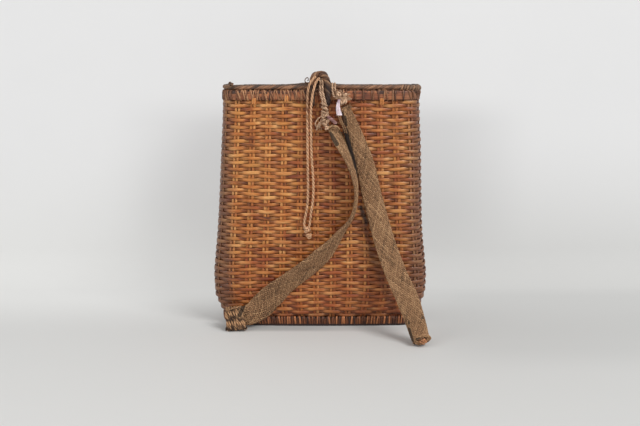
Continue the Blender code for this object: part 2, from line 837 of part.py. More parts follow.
def loop_frame():
    """Centre and axis of the rope turns round the left strap's end."""
    tilt = math.radians(loop_tilt_degrees)
    axis = Vector((-math.cos(tilt), 0.0, -math.sin(tilt)))
    half_long = loop_flat_width / 2 + loop_clearance + loop_rope_radius
    reach = (half_long + loop_rope_radius) * math.cos(tilt)
    reach += loop_turn_count * loop_pitch / 2 * math.sin(tilt)
    level = reach + gap
    across = -loop_centre_x_share * half_width(level)
    depth = loop_half_thick() + loop_rope_radius
    skin = front_skin(across + loop_flat_width, foot_band_top, foot_skin_offset)
    return Vector((across, skin - gap - depth, level)), axis


def loop_half_thick():
    return half_thickness_at(loop_flat_width / strap_width) + loop_clearance + loop_rope_radius


def make_corner_loop(centre, axis, material):
    """Rope turns round the strap's end, wound as one unbroken tube."""
    out = Vector((0.0, -1.0, 0.0))
    side = out.cross(axis).normalized()
    half_long = loop_flat_width / 2 + loop_clearance + loop_rope_radius
    half_thick = loop_half_thick()
    steps = loop_point_count * loop_turn_count
    power = 2 / loop_squareness
    points = []
    for step in range(steps + 1):
        angle = 2 * math.pi * step / loop_point_count
        across = math.copysign(abs(math.cos(angle)) ** power, math.cos(angle)) * half_long
        proud = math.copysign(abs(math.sin(angle)) ** power, math.sin(angle)) * half_thick
        travel = (step / steps - 0.5) * loop_turn_count * loop_pitch
        points.append(centre + side * across + out * proud + axis * travel)
    least = min((first - second).length for index, first in enumerate(points)
                for second in points[index + loop_point_count // 2:])
    print("left_corner_loop least gap to itself", round(least - 2 * loop_rope_radius, 5))
    return tube("left_corner_loop", points, loop_rope_radius, loop_step_count, material)


def make_corner_anchor(material):
    """A short stub of rope from the wall to the back of the loop's last turn."""
    centre, axis = loop_frame()
    place = centre + axis * (loop_turn_count * loop_pitch / 2)
    place.z = foot_skin_top + gap + anchor_radius
    back = centre.y + loop_half_thick() + loop_rope_radius
    lip = place.z + anchor_radius
    skin = min(front_skin(place.x + anchor_radius, lip, 0.0),
               front_skin(place.x + anchor_radius, place.z - anchor_radius, 0.0))
    start = Vector((place.x, skin - gap, place.z))
    end = Vector((place.x, back + gap, place.z))
    points = smooth_route([start, start.lerp(end, 0.5), end], stub_point_count)
    tube("left_corner_anchor", points, anchor_radius, stub_step_count, material)


def make_right_tie(cord_material, cloth_material):
    centre = knot_centre(right_knot_place, right_knot_radius)
    pieces = [ball("right_tie_knot", centre, right_knot_radius, cord_material)]
    hook_radius = rim_border_diameter / 2 + swing_gap + tie_cord_radius
    for label, places, end in zip(("left", "right"), right_tie_routes, right_tie_end_shares):
        route = []
        for step in range(hook_point_count):
            share = step / (hook_point_count - 1)
            angle = math.pi * (hook_start_share + (hook_end_share - hook_start_share) * share)
            route.append(Vector((places[0][0], rim_border_y + hook_radius * math.cos(angle),
                                 rim_border_level + hook_radius * math.sin(angle))))
        route += [from_rim(*place) for place in places]
        route = cord_to_ball(route, centre, right_knot_radius, end)
        pieces.append(tube("right_tie_cord_" + label, square_ends(route, right_tie_point_count),
                           tie_cord_radius, cord_step_count, cord_material))

    beside = cloth_shift - cloth_width / 2
    knot_front = math.sqrt(right_knot_radius ** 2 - beside ** 2)
    front = centre.y - knot_front - gap - cloth_thickness / 2

    def place(around, along):
        wave = (math.cos((along - cloth_above_share) * math.pi * 2) - 1) * cloth_wave
        width = cloth_width * (cloth_top_width_share + (1 - cloth_top_width_share) * along)
        across = (around - 0.5) * width - cloth_shift
        drop = cloth_length * (along - cloth_above_share)
        return Vector((centre.x + across, front + wave, centre.z - drop))

    cloth = add_mesh("cloth_tie", bent_grid(cloth_column_count, cloth_row_count, place, False))
    thicken = cloth.modifiers.new("thickness", "SOLIDIFY")
    thicken.thickness = cloth_thickness
    thicken.offset = 0.0
    pieces.append(finish(cloth, cloth_material, centre))
    return pieces, centre


def lowest_of(station):
    """Lowest point of the strap's round end."""
    return station[0].z - strap_end_radius * math.sqrt(1 - station[1].z ** 2)


def make_right_strap(knot, strap_material, core_material):
    first_x, first_z = right_strap_shares[0][0], right_strap_shares[0][1]
    aim = Vector((first_x * belly_half_width, knot.y, first_z * height)) - knot
    aim.normalize()
    start = knot + aim * (right_knot_radius + gap)
    ends = []
    for across, level, standoff in right_end_shares:
        ends.append((across, level, standoff, 2 * strap_end_radius / strap_width, 0.0))
    stations = strap_stations(start, aim, (*right_strap_shares, *ends), [])
    clear_of_wall(stations)
    sink = lowest_of(stations[-1]) - gap
    for index, station in enumerate(stations):
        share = max(0.0, index / strap_row_count - right_sink_share) / (1 - right_sink_share)
        station[0] = station[0] - Vector((0.0, 0.0, sink * share * share))
    end = stations[-1]
    mouth = end[0].copy()
    forward = end[1].copy()
    inner = [mouth, mouth - forward * strap_end_depth]
    for place in inner:
        stations.append([place, forward, end[2], end[3]])

    bore = strap_end_radius - strap_end_wall

    def roundness(index):
        share = (index - strap_row_count + round_row_count) / (round_row_count - round_end_row_count)
        share = min(max(share, 0.0), 1.0)
        return share * share * (3 - 2 * share)

    def squareness_of(index):
        return strap_squareness + (round_squareness - strap_squareness) * roundness(index)

    def size_of(index, width):
        if index > strap_row_count:
            return bore, bore
        share = roundness(index)
        wide = width * strap_width / 2
        thick = half_thickness_at(width)
        return (wide + (strap_end_radius - wide) * share,
                thick + (strap_end_radius - thick) * share)

    strap = strap_mesh("right_strap", stations, squareness_of, size_of, strap_material, knot)
    core_start = mouth - forward * (strap_end_depth - gap)
    core_end = mouth - forward * strap_core_recess
    core_points = smooth_route([core_start, core_start.lerp(core_end, 0.5), core_end],
                               stub_point_count)
    core = tube("right_strap_core", core_points, bore - strap_core_play, stub_step_count,
                core_material)
    return [strap, core]


def build():
    clear_scene()
    make_collections()
    wicker = make_material("wicker", (0.42, 0.19, 0.06), 0.55)
    base_wicker = make_material("base_wicker", (0.33, 0.16, 0.06), 0.62)
    hoop = make_material("split_cane", (0.20, 0.12, 0.07), 0.60)
    lashing = make_material("cane_lashing", (0.24, 0.13, 0.07), 0.58)
    border = make_material("twisted_border", (0.13, 0.09, 0.06), 0.70)
    dark_rope = make_material("handle_rope", (0.12, 0.07, 0.05), 0.80)
    pale_cord = make_material("pale_cord", (0.55, 0.38, 0.28), 0.85)
    strap = make_material("plaited_strap", (0.24, 0.17, 0.11), 0.88)
    core = make_material("frayed_core", (0.55, 0.30, 0.16), 0.90)
    rope = make_material("corner_rope", (0.38, 0.27, 0.17), 0.88)
    cloth = make_material("pale_cloth", (0.78, 0.66, 0.70), 0.85)

    make_wall(wicker)
    make_base(base_wicker)
    make_rim(hoop, lashing, border)
    make_foot(hoop, lashing)
    crown = make_handle(dark_rope)
    make_handle_curl(dark_rope)
    hanging = make_hanging_cord(pale_cord)
    left = make_left_side(pale_cord, strap, rope)
    make_corner_anchor(rope)
    right_tie, right_knot = make_right_tie(pale_cord, cloth)
    right_strap = make_right_strap(right_knot, strap, core)

    make_pivot("hanging_cord_pivot", crown, hanging)
    make_pivot("left_strap_pivot", crown, left)
    strap_pivot = make_pivot("right_strap_pivot", right_knot, right_strap)
    tie_place = Vector((right_knot.x, rim_border_y, rim_border_level))
    make_pivot("right_tie_pivot", tie_place, [*right_tie, strap_pivot])


build()
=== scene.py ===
"""Pack basket: woven splints, sewn rim and foot, rope handle, cords and plaited straps.

One Geometry Nodes tree makes every woven, sewn, laid or plaited piece. It lays
strands over a skin, which is a grid bent to the shape that the strands follow.
"""

import json
import math
import random

import bmesh
import bpy
from bpy.props import FloatProperty, FloatVectorProperty, IntProperty, PointerProperty
from mathutils import Vector
from mathutils.bvhtree import BVHTree
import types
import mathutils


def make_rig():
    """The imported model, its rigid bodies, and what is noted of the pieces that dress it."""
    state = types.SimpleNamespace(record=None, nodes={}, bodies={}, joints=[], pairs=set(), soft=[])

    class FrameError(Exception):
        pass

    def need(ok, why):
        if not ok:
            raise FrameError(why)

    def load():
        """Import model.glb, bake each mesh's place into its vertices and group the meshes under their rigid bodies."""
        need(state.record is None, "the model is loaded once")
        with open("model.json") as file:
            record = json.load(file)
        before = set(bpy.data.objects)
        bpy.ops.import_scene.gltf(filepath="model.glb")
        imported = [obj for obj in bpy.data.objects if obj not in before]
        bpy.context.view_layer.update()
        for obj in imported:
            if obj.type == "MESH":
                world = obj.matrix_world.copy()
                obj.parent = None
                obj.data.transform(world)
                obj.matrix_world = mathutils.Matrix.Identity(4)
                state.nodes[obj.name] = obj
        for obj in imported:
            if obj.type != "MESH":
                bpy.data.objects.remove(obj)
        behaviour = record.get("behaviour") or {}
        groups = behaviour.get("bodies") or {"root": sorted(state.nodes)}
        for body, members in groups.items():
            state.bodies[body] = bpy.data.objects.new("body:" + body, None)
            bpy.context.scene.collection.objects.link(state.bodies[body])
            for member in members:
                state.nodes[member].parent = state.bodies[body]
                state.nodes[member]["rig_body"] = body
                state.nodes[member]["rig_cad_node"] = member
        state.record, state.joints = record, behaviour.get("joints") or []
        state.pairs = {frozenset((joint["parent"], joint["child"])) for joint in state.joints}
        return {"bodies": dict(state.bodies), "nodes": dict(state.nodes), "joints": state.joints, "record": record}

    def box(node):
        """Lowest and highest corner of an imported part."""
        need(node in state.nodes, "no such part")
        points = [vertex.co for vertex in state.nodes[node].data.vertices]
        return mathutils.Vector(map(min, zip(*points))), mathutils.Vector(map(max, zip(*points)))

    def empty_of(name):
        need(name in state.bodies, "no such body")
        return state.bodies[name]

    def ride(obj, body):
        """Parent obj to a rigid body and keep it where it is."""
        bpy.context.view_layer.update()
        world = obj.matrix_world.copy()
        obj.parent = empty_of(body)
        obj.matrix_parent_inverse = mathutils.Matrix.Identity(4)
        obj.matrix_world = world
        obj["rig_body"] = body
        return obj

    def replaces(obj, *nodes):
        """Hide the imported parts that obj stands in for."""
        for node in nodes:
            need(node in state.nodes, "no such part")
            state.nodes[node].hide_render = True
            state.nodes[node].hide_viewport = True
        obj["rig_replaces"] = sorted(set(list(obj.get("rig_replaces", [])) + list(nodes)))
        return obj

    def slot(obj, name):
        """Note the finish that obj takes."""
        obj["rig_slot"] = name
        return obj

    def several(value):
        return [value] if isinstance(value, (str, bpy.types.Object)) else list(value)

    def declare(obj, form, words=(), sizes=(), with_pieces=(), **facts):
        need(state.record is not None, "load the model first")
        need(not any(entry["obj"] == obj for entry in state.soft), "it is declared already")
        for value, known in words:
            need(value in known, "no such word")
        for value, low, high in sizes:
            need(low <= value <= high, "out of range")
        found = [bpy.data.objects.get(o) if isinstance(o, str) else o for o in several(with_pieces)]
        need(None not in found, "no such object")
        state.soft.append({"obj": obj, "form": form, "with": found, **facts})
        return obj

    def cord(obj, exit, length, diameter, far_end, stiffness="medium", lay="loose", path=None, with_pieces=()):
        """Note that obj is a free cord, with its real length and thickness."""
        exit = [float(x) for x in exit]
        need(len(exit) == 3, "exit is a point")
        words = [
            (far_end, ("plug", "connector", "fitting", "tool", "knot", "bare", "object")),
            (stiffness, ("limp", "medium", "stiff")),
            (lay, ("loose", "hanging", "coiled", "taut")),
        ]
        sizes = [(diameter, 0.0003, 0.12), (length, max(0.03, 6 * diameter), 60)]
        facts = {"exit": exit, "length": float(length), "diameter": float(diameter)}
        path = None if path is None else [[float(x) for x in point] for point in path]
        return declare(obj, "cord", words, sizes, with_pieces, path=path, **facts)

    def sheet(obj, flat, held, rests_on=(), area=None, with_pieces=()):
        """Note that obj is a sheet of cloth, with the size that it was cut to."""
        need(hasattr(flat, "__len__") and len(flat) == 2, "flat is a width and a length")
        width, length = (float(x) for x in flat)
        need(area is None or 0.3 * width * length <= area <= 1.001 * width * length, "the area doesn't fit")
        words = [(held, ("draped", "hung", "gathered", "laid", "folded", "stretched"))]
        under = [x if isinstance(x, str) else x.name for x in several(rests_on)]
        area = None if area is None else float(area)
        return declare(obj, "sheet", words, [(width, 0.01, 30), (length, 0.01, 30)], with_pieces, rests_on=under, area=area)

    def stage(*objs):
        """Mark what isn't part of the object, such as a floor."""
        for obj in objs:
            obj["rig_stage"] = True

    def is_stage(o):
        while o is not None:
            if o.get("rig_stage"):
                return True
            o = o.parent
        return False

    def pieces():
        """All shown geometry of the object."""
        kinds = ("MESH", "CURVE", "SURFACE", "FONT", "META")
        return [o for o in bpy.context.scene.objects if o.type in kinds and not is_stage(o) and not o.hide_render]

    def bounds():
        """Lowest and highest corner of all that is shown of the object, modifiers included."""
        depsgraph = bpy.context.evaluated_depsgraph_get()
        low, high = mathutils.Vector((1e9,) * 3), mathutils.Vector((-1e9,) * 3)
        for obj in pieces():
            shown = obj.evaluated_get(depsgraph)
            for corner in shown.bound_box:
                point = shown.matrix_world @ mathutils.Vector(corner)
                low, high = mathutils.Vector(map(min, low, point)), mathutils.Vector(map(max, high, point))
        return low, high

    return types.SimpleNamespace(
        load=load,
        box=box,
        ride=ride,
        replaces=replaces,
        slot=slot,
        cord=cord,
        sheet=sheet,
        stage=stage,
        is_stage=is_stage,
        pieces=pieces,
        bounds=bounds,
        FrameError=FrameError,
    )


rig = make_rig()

bl_info = {
    "name": "Pack Basket",
    "version": (1, 0, 0),
    "blender": (4, 5, 0),
    "location": "View3D > Sidebar > Basket",
    "description": "Makes a woven pack basket with cords and plaited straps",
    "category": "Add Mesh",
}

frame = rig.load()
cad_low, cad_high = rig.bounds()

FRONT = Vector((0.0, -1.0, 0.0))
UP = Vector((0.0, 0.0, 1.0))

# A skin reaches this share past both of its ends, so that strands can be cut from its middle
SKIN_MARGIN = 0.04

# The camera of the photograph
CAMERA_PLACE = (0.0, -1.367, 0.43)
CAMERA_TILT_DEGREES = 79.4
CAMERA_LENS = 44.2
CAMERA_SENSOR = 36.0

# The backdrop: where it leaves the floor and how widely it bends up
BACKDROP_START = 0.11
BACKDROP_BEND = 0.07
BACKDROP_HEIGHT = 3.0
BACKDROP_HALF_WIDTH = 3.0

# The even light, and the lamps: name, place, size in metres and power in watts
SOFT_LIGHT_STRENGTH = 0.46
LAMPS = (("soft_right", (1.5, -1.6, 2.0), 1.2, 46.0), ("soft_left", (-1.8, -1.5, 1.4), 1.6, 11.0))

# The wall, as offsets from its outer face
WALL_LOW = 0.0153
WALL_HIGH = 0.3761
WALL_THICKNESS = 0.006
WALL_MIDDLE = -0.0022
STAKE_LOW = 0.005
STAKE_HIGH = 0.3905
FRONT_STAKE_X = -0.0066

# The rim and the foot, as offset and height pairs from the wall's outer face
RIM_SECTION = (
    (0.0012, 0.3752), (0.0031, 0.3764), (0.0032, 0.3838), (0.0029, 0.3905), (0.0, 0.3922),
    (-0.0045, 0.3924), (-0.0085, 0.3915), (-0.0094, 0.386), (-0.0094, 0.38), (-0.0082, 0.3755),
)
FOOT_SECTION = (
    (0.0004, 0.0032), (0.0034, 0.0039), (0.0041, 0.006), (0.0041, 0.012), (0.0034, 0.0155),
    (0.0004, 0.0163),
)
BORDER_LEVEL = 0.39625
BORDER_RADIUS = 0.00375
BORDER_KNOT = (-0.1425, -0.095, 0.401)
RIM_HOOP_LOW = 0.3761
RIM_HOOP_HIGH = 0.3911
RIM_HOOP_MIDDLE = 0.0014

# The straps: rings traced on each, turns of a plaited strand, and the lining under the plait
STRAP_STATIONS = 110
PLAIT_TURNS = 3.0
LINING_COLUMNS = 40
LINING_DEPTH = 0.0013

# The pale cloth, laid flat
CLOTH_WIDTH = 0.012
CLOTH_LENGTH = 0.025

# Routes of the cords and ropes, in metres
HANGING_LEFT_ROUTE = (
    (-0.0066, -0.113, 0.4138), (-0.0092, -0.1128, 0.4118), (-0.0138, -0.1122, 0.4062),
    (-0.0164, -0.1118, 0.4012), (-0.0183, -0.1109, 0.395), (-0.0194, -0.1096, 0.388),
    (-0.0198, -0.1084, 0.378), (-0.02, -0.1076, 0.362), (-0.0201, -0.107, 0.34),
    (-0.02, -0.1068, 0.3), (-0.0196, -0.1069, 0.262), (-0.0195, -0.1074, 0.232),
    (-0.0204, -0.1082, 0.21), (-0.0224, -0.1096, 0.196), (-0.026, -0.109, 0.1756),
    (-0.0233, -0.1104, 0.1699),
)
HANGING_RIGHT_ROUTE = (
    (-0.0012, -0.1114, 0.4119), (-0.0062, -0.1128, 0.4048), (-0.0088, -0.1136, 0.3978),
    (-0.011, -0.1137, 0.389), (-0.0127, -0.113, 0.379), (-0.0138, -0.1125, 0.37),
    (-0.0143, -0.1114, 0.36), (-0.0144, -0.1092, 0.346), (-0.0143, -0.1076, 0.324),
    (-0.0136, -0.107, 0.29), (-0.0114, -0.1071, 0.256), (-0.0106, -0.1074, 0.232),
    (-0.0118, -0.1082, 0.212), (-0.0142, -0.1096, 0.198), (-0.0168, -0.1087, 0.1765),
    (-0.0183, -0.1103, 0.1704),
)
LEFT_TIE_ROUTES = (
    ((-0.0016, -0.1057, 0.411), (-0.0012, -0.1057, 0.4097), (0.0004, -0.1062, 0.4035),
     (-0.0002, -0.1068, 0.396), (0.0006, -0.108, 0.388), (0.003, -0.1098, 0.379),
     (0.0046, -0.1112, 0.371), (0.0057, -0.1108, 0.363), (0.0044, -0.1067, 0.3557),
     (0.0063, -0.1067, 0.3495)),
    ((0.0034, -0.1057, 0.4107), (0.0028, -0.1057, 0.4095), (0.0044, -0.1062, 0.4035),
     (0.0038, -0.1068, 0.396), (0.0046, -0.108, 0.388), (0.007, -0.1098, 0.379),
     (0.0086, -0.1112, 0.371), (0.0097, -0.1108, 0.363), (0.0126, -0.1067, 0.3557),
     (0.0107, -0.1067, 0.3495)),
)
RIGHT_HOOK = (
    (-0.0895, 0.399), (-0.0909, 0.4008), (-0.0928, 0.402), (-0.095, 0.4024),
    (-0.0972, 0.402), (-0.0991, 0.4008), (-0.1005, 0.399),
)
RIGHT_TIE_LEFT_END = (
    (0.0193, -0.1031, 0.395), (0.0197, -0.1041, 0.3905), (0.0209, -0.1046, 0.3855),
    (0.0228, -0.1051, 0.3825), (0.028, -0.1072, 0.3794),
)
RIGHT_TIE_RIGHT_END = (
    (0.0235, -0.1031, 0.395), (0.0245, -0.1042, 0.391), (0.0264, -0.1046, 0.3884),
    (0.03, -0.1045, 0.387), (0.0324, -0.1063, 0.3832),
)
RIGHT_TIE_ROUTES = (
    tuple((0.0193, y, z) for y, z in RIGHT_HOOK) + RIGHT_TIE_LEFT_END,
    tuple((0.0235, y, z) for y, z in RIGHT_HOOK) + RIGHT_TIE_RIGHT_END,
)
HANDLE_ROUTE = (
    (-0.012, -0.0984, 0.3695), (-0.012, -0.1035, 0.3706), (-0.012, -0.1056, 0.3753),
    (-0.012, -0.1057, 0.3806), (-0.012, -0.1057, 0.391), (-0.012, -0.1057, 0.4018),
    (-0.0118, -0.1057, 0.4071), (-0.0098, -0.1057, 0.4119), (-0.0059, -0.1057, 0.4155),
    (-0.0009, -0.1057, 0.4171), (0.0036, -0.1057, 0.4166), (0.0074, -0.1057, 0.4139),
    (0.0098, -0.1057, 0.4096), (0.0114, -0.1057, 0.4044), (0.0128, -0.1057, 0.392),
    (0.0128, -0.1057, 0.378), (0.0128, -0.1049, 0.3728), (0.0128, -0.1011, 0.3696),
)
CURL_ROUTE = (
    (-0.012, -0.0954, 0.4016), (-0.0169, -0.0964, 0.4017), (-0.0212, -0.0988, 0.4028),
    (-0.024, -0.1016, 0.4058), (-0.0234, -0.104, 0.41), (-0.0195, -0.105, 0.4123),
    (-0.0181, -0.1042, 0.4082), (-0.0197, -0.103, 0.4068),
)
LEFT_STRAP_ROUTE = (
    (0.0139, -0.1067, 0.3364), (0.0309, -0.1126, 0.3123), (0.0473, -0.1161, 0.2817),
    (0.0568, -0.1179, 0.2482), (0.0578, -0.1191, 0.2135), (0.0468, -0.12, 0.1809),
    (0.0257, -0.1207, 0.1531), (0.0033, -0.1208, 0.1265), (-0.0224, -0.1199, 0.103),
    (-0.0502, -0.1174, 0.0819), (-0.0772, -0.1123, 0.0599), (-0.1004, -0.1072, 0.0343),
    (-0.1321, -0.1135, 0.0222), (-0.1544, -0.1132, 0.0159),
)
RIGHT_STRAP_ROUTE = (
    (0.0388, -0.1103, 0.3678), (0.0504, -0.1047, 0.3394), (0.061, -0.1028, 0.31),
    (0.0713, -0.1039, 0.2802), (0.0784, -0.1042, 0.2495), (0.0856, -0.1066, 0.2189),
    (0.0937, -0.1127, 0.189), (0.102, -0.1195, 0.1593), (0.1114, -0.1283, 0.1305),
    (0.1218, -0.141, 0.1033), (0.1322, -0.1588, 0.0788), (0.1417, -0.1776, 0.0543),
    (0.1516, -0.1874, 0.0249), (0.158, -0.2003, 0.0088),
)
RIGHT_BORE_BOTTOM = (0.1545, -0.1919, 0.0166)
RIGHT_BORE_RADIUS = 0.0088
LEFT_KNOT_WRAP = (
    (0.002, -0.109, 0.372), (0.0045, -0.1145, 0.3712), (0.0098, -0.114, 0.369),
    (0.0105, -0.1085, 0.3675),
    (0.0055, -0.1075, 0.3668), (0.0025, -0.112, 0.3655), (0.007, -0.1155, 0.364),
    (0.0118, -0.1115, 0.3622),
    (0.0085, -0.1075, 0.3612), (0.0035, -0.11, 0.36), (0.004, -0.115, 0.359),
    (0.01, -0.115, 0.357),
    (0.013, -0.11, 0.3555),
)
LEFT_KNOT_CURL = (
    (0.006, -0.113, 0.354), (0.0016, -0.1115, 0.351), (-0.004, -0.11, 0.3465),
    (-0.0074, -0.1095, 0.34),
    (-0.0056, -0.11, 0.3345), (-0.002, -0.111, 0.3385), (-0.0014, -0.1115, 0.3425),
    (-0.0013, -0.111, 0.3345),
    (-0.0061, -0.11, 0.329),
)
LEFT_KNOT_TAG = (
    (0.012, -0.112, 0.351), (0.0165, -0.113, 0.348), (0.0215, -0.1132, 0.344),
    (0.0255, -0.113, 0.34),
)
LEFT_STRAP_LIP = (
    (0.0125, -0.112, 0.331), (0.0143, -0.1135, 0.3334), (0.0207, -0.115, 0.3366),
    (0.0262, -0.115, 0.3355),
    (0.0315, -0.114, 0.331),
)
# Painted shade of the straps' hollows and gaps, each a line in the front view: the start and end of each, and half its
# width
LEFT_STRAP_HOLLOWS = (
    ((0.0168, 0.3235), (0.0268, 0.3085), 0.0038), ((0.0375, 0.333), (0.0446, 0.3105), 0.003),
    ((0.0446, 0.3105), (0.051, 0.289), 0.003), ((0.051, 0.289), (0.0566, 0.269), 0.0018),
    ((-0.1266, 0.0388), (-0.1326, 0.0268), 0.0036),
)
# How much wider the left strap lies than its solid: share of its length, at its left edge, at its right edge
LEFT_STRAP_WIDENING = (
    (0.0, 0.0, 0.0), (0.4, 0.0, 0.0), (0.467, 0.0032, 0.0032), (0.547, 0.007, 0.007),
    (0.627, 0.0053, 0.0053),
    (0.68, 0.0033, 0.0033), (0.74, 0.0027, 0.0027), (0.8, 0.003, 0.0075), (0.868, 0.0036, 0.007),
    (0.9, 0.003, 0.0095), (0.93, 0.003, 0.0115), (0.95, 0.0026, 0.0095), (1.001, 0.001, 0.003),
)
# The left strap's turned-in edge, coloured dark to paint the shade in the gap beside the right strap
LEFT_STRAP_FOLD = (
    (0.0392, -0.108, 0.332), (0.044, -0.1078, 0.315), (0.0484, -0.1078, 0.3),
    (0.053, -0.108, 0.285),
    (0.057, -0.1085, 0.268), (0.06, -0.109, 0.252),
)
RIGHT_STRAP_HOLLOWS = (
    ((0.0395, 0.35), (0.0415, 0.337), 0.003), ((0.139, 0.034), (0.1388, 0.0385), 0.0014),
    ((0.159, 0.0435), (0.1622, 0.042), 0.0012), ((0.1395, 0.0262), (0.144, 0.0095), 0.0024),
    ((0.149, 0.014), (0.154, 0.0158), 0.0016),
)
RIGHT_MOUTH_FLAP = ((0.0365, -0.1095, 0.358), (0.0372, -0.11, 0.35), (0.0392, -0.1095, 0.336))
RIGHT_MOUTH_EDGES = (
    ((0.0283, -0.1135, 0.353), (0.0318, -0.1135, 0.345), (0.0367, -0.1125, 0.3343),
     (0.04, -0.1115, 0.325)),
    ((0.0316, -0.114, 0.352), (0.035, -0.114, 0.343), (0.0402, -0.113, 0.333),
     (0.043, -0.112, 0.324)),
)
CORNER_LOOP = (
    (-0.1545, -0.119, 0.029), (-0.1495, -0.123, 0.0345), (-0.143, -0.1245, 0.0378),
    (-0.1354, -0.1245, 0.0396),
    (-0.1283, -0.1235, 0.0374), (-0.1258, -0.1225, 0.03), (-0.129, -0.1225, 0.022),
    (-0.1345, -0.1225, 0.0165),
)
HANGING_KNOT_HIGH = (-0.0214, -0.1115, 0.1675)
HANGING_KNOT_LOW = (-0.018, -0.1121, 0.157)
LEFT_TIE_KNOT = (0.0085, -0.1067, 0.342)
RIGHT_TIE_KNOT = (0.0355, -0.1103, 0.376)
CORNER_CENTRE = (-0.1396, -0.11319, 0.0192)
CORNER_AXIS = (-0.995, 0.0, -0.0999)
ANCHOR_ROUTE = ((-0.1514, -0.0965, 0.0201), (-0.1514, -0.1, 0.0201), (-0.1514, -0.1035, 0.0204))


def from_screen(red, green, blue):
    """A colour as a screen shows it, turned to light."""
    return tuple((c / 255 / 12.92) if c < 11 else ((c / 255 + 0.055) / 1.055) ** 2.4
                 for c in (red, green, blue))


def length(name, text, default):
    return FloatProperty(name=name, description=text, default=default, min=0.0, max=0.5,
                         unit="LENGTH", precision=4)


def count(name, text, default):
    return IntProperty(name=name, description=text, default=default, min=1, max=400)


def paint(name, text, *screen):
    label = name.replace("_", " ").capitalize()
    return FloatVectorProperty(name=label, description=text, subtype="COLOR", size=3, min=0.0,
                               max=1.0, default=from_screen(*screen))


class BasketSizes(bpy.types.PropertyGroup):
    """Sizes of the strands and their numbers."""

    row_count: count("Rows", "Rows of splint in the wall", 63)
    stake_count: count("Stakes", "Upright stakes round the wall", 38)
    splint_half_width: length("Splint half width", "Half the width of a wall splint", 0.00304)
    splint_half_thickness: length("Splint half thickness", "Half the thickness of a splint", 0.00085)
    splint_wave: length("Splint wave", "How far a splint weaves in and out", 0.0015)
    stake_half_width: length("Stake half width", "Half the width of one strip of a stake", 0.00245)
    stake_gap: length("Stake gap", "Distance between the middles of a stake's two strips", 0.0056)
    rim_stitch_pitch: length("Rim stitch pitch", "Distance between turns of cane round the rim", 0.0086)
    foot_stitch_count: count("Foot stitches", "Pairs of turns of cane round the foot", 118)
    border_strand_count: count("Border strands", "Strands twisted into the border", 4)
    hanging_cord_radius: length("Hanging cord radius", "Radius of the hanging cord", 0.0022)
    tie_cord_radius: length("Tie cord radius", "Radius of the cords that tie the straps", 0.002)
    corner_rope_radius: length("Corner rope radius", "Radius of the rope round the left corner", 0.0024)
    plait_count: count("Plait strands", "Strands each way in a strap", 24)


# The fibres' colours: name, what it is for, and red, green and blue on a screen
# The dark colours also paint shade and grime on the sides of the strands and in the gaps between them
PAINTS = (
    ("splint_light", "Worn crests of the splints", 234, 172, 104),
    ("splint_middle", "Most of each splint", 194, 112, 46),
    ("splint_dark", "Streaks and edges of the splints", 92, 44, 20),
    ("splint_red", "Redder cane low down and in the middle", 150, 66, 30),
    ("splint_gold", "Golden cane high on the left", 222, 154, 78),
    ("splint_grey", "Greyer cane at the two sides", 108, 79, 61),
    ("rim_light", "Lit cane of the rim", 196, 144, 102),
    ("rim_middle", "Most of the rim's cane", 142, 90, 56),
    ("rim_dark", "Dark cane of the rim", 66, 38, 26),
    ("hoop_light", "Worn parts of the rim's hoop", 188, 120, 76),
    ("hoop_middle", "Most of the rim's hoop", 138, 76, 46),
    ("hoop_dark", "Streaks of the rim's hoop", 84, 44, 28),
    ("border_light", "Lit strands of the border", 178, 130, 96),
    ("border_middle", "Most of the border", 134, 92, 64),
    ("border_grey", "Grey cane at the border's ends", 120, 98, 76),
    # border_dark also paints the shade on the border's inner side
    ("border_dark", "Grime of the border", 50, 38, 32),
    ("foot_light", "Lit cane of the foot", 192, 122, 76),
    ("foot_middle", "Most of the foot's cane", 134, 76, 42),
    ("foot_dark", "Dark cane of the foot", 52, 28, 20),
    ("handle_light", "Lit strands of the handle", 178, 136, 100),
    ("handle_middle", "Most of the handle", 116, 76, 50),
    ("handle_dark", "Gaps of the handle", 44, 26, 20),
    ("cord_light", "Pale strands of the cords", 228, 179, 138),
    ("cord_dark", "Gaps of the cords", 112, 72, 48),
    ("tie_light", "Pale strands of the tie cords", 228, 190, 156),
    ("tie_dark", "Gaps of the tie cords", 114, 80, 56),
    ("rosy_light", "Lit strands of the rosy end", 176, 134, 128),
    ("rosy_dark", "Gaps of the rosy end", 92, 56, 54),
    ("strap_light", "Pale flecks of the straps", 208, 166, 122),
    ("strap_middle", "Most of the plaited strands", 148, 108, 74),
    ("strap_dark", "Gaps of the plaiting", 66, 44, 28),
    # hollow is the painted shade of the straps' hollows and gaps, and of the floor in front of the basket
    ("hollow", "Hollows of the straps", 26, 19, 14),
    ("fray_light", "Loose fibre in the strap's end", 234, 176, 130),
    ("fray_dark", "Deep loose fibre", 146, 80, 46),
    ("rope_light", "Lit strands of the corner rope", 196, 150, 108),
    ("rope_dark", "Gaps of the corner rope", 50, 32, 20),
    ("cloth_light", "Pale cloth tied at the right", 255, 246, 248),
    # cloth_dark is the painted shade of the cloth's folds
    ("cloth_dark", "Folds of the pale cloth", 206, 178, 188),
    # floor_left is painted light that evens out the shade on the floor's left
    ("floor_left", "Left part of the floor", 228, 228, 226),
    ("floor_right", "Right part of the floor", 209, 209, 207),
    # distance also paints the backdrop lighter upward
    ("distance", "Backdrop far behind", 232, 232, 232),
)


class BasketColours(bpy.types.PropertyGroup):
    """Colours of the fibres."""

    __annotations__ = {name: paint(name, text, *screen) for name, text, *screen in PAINTS}


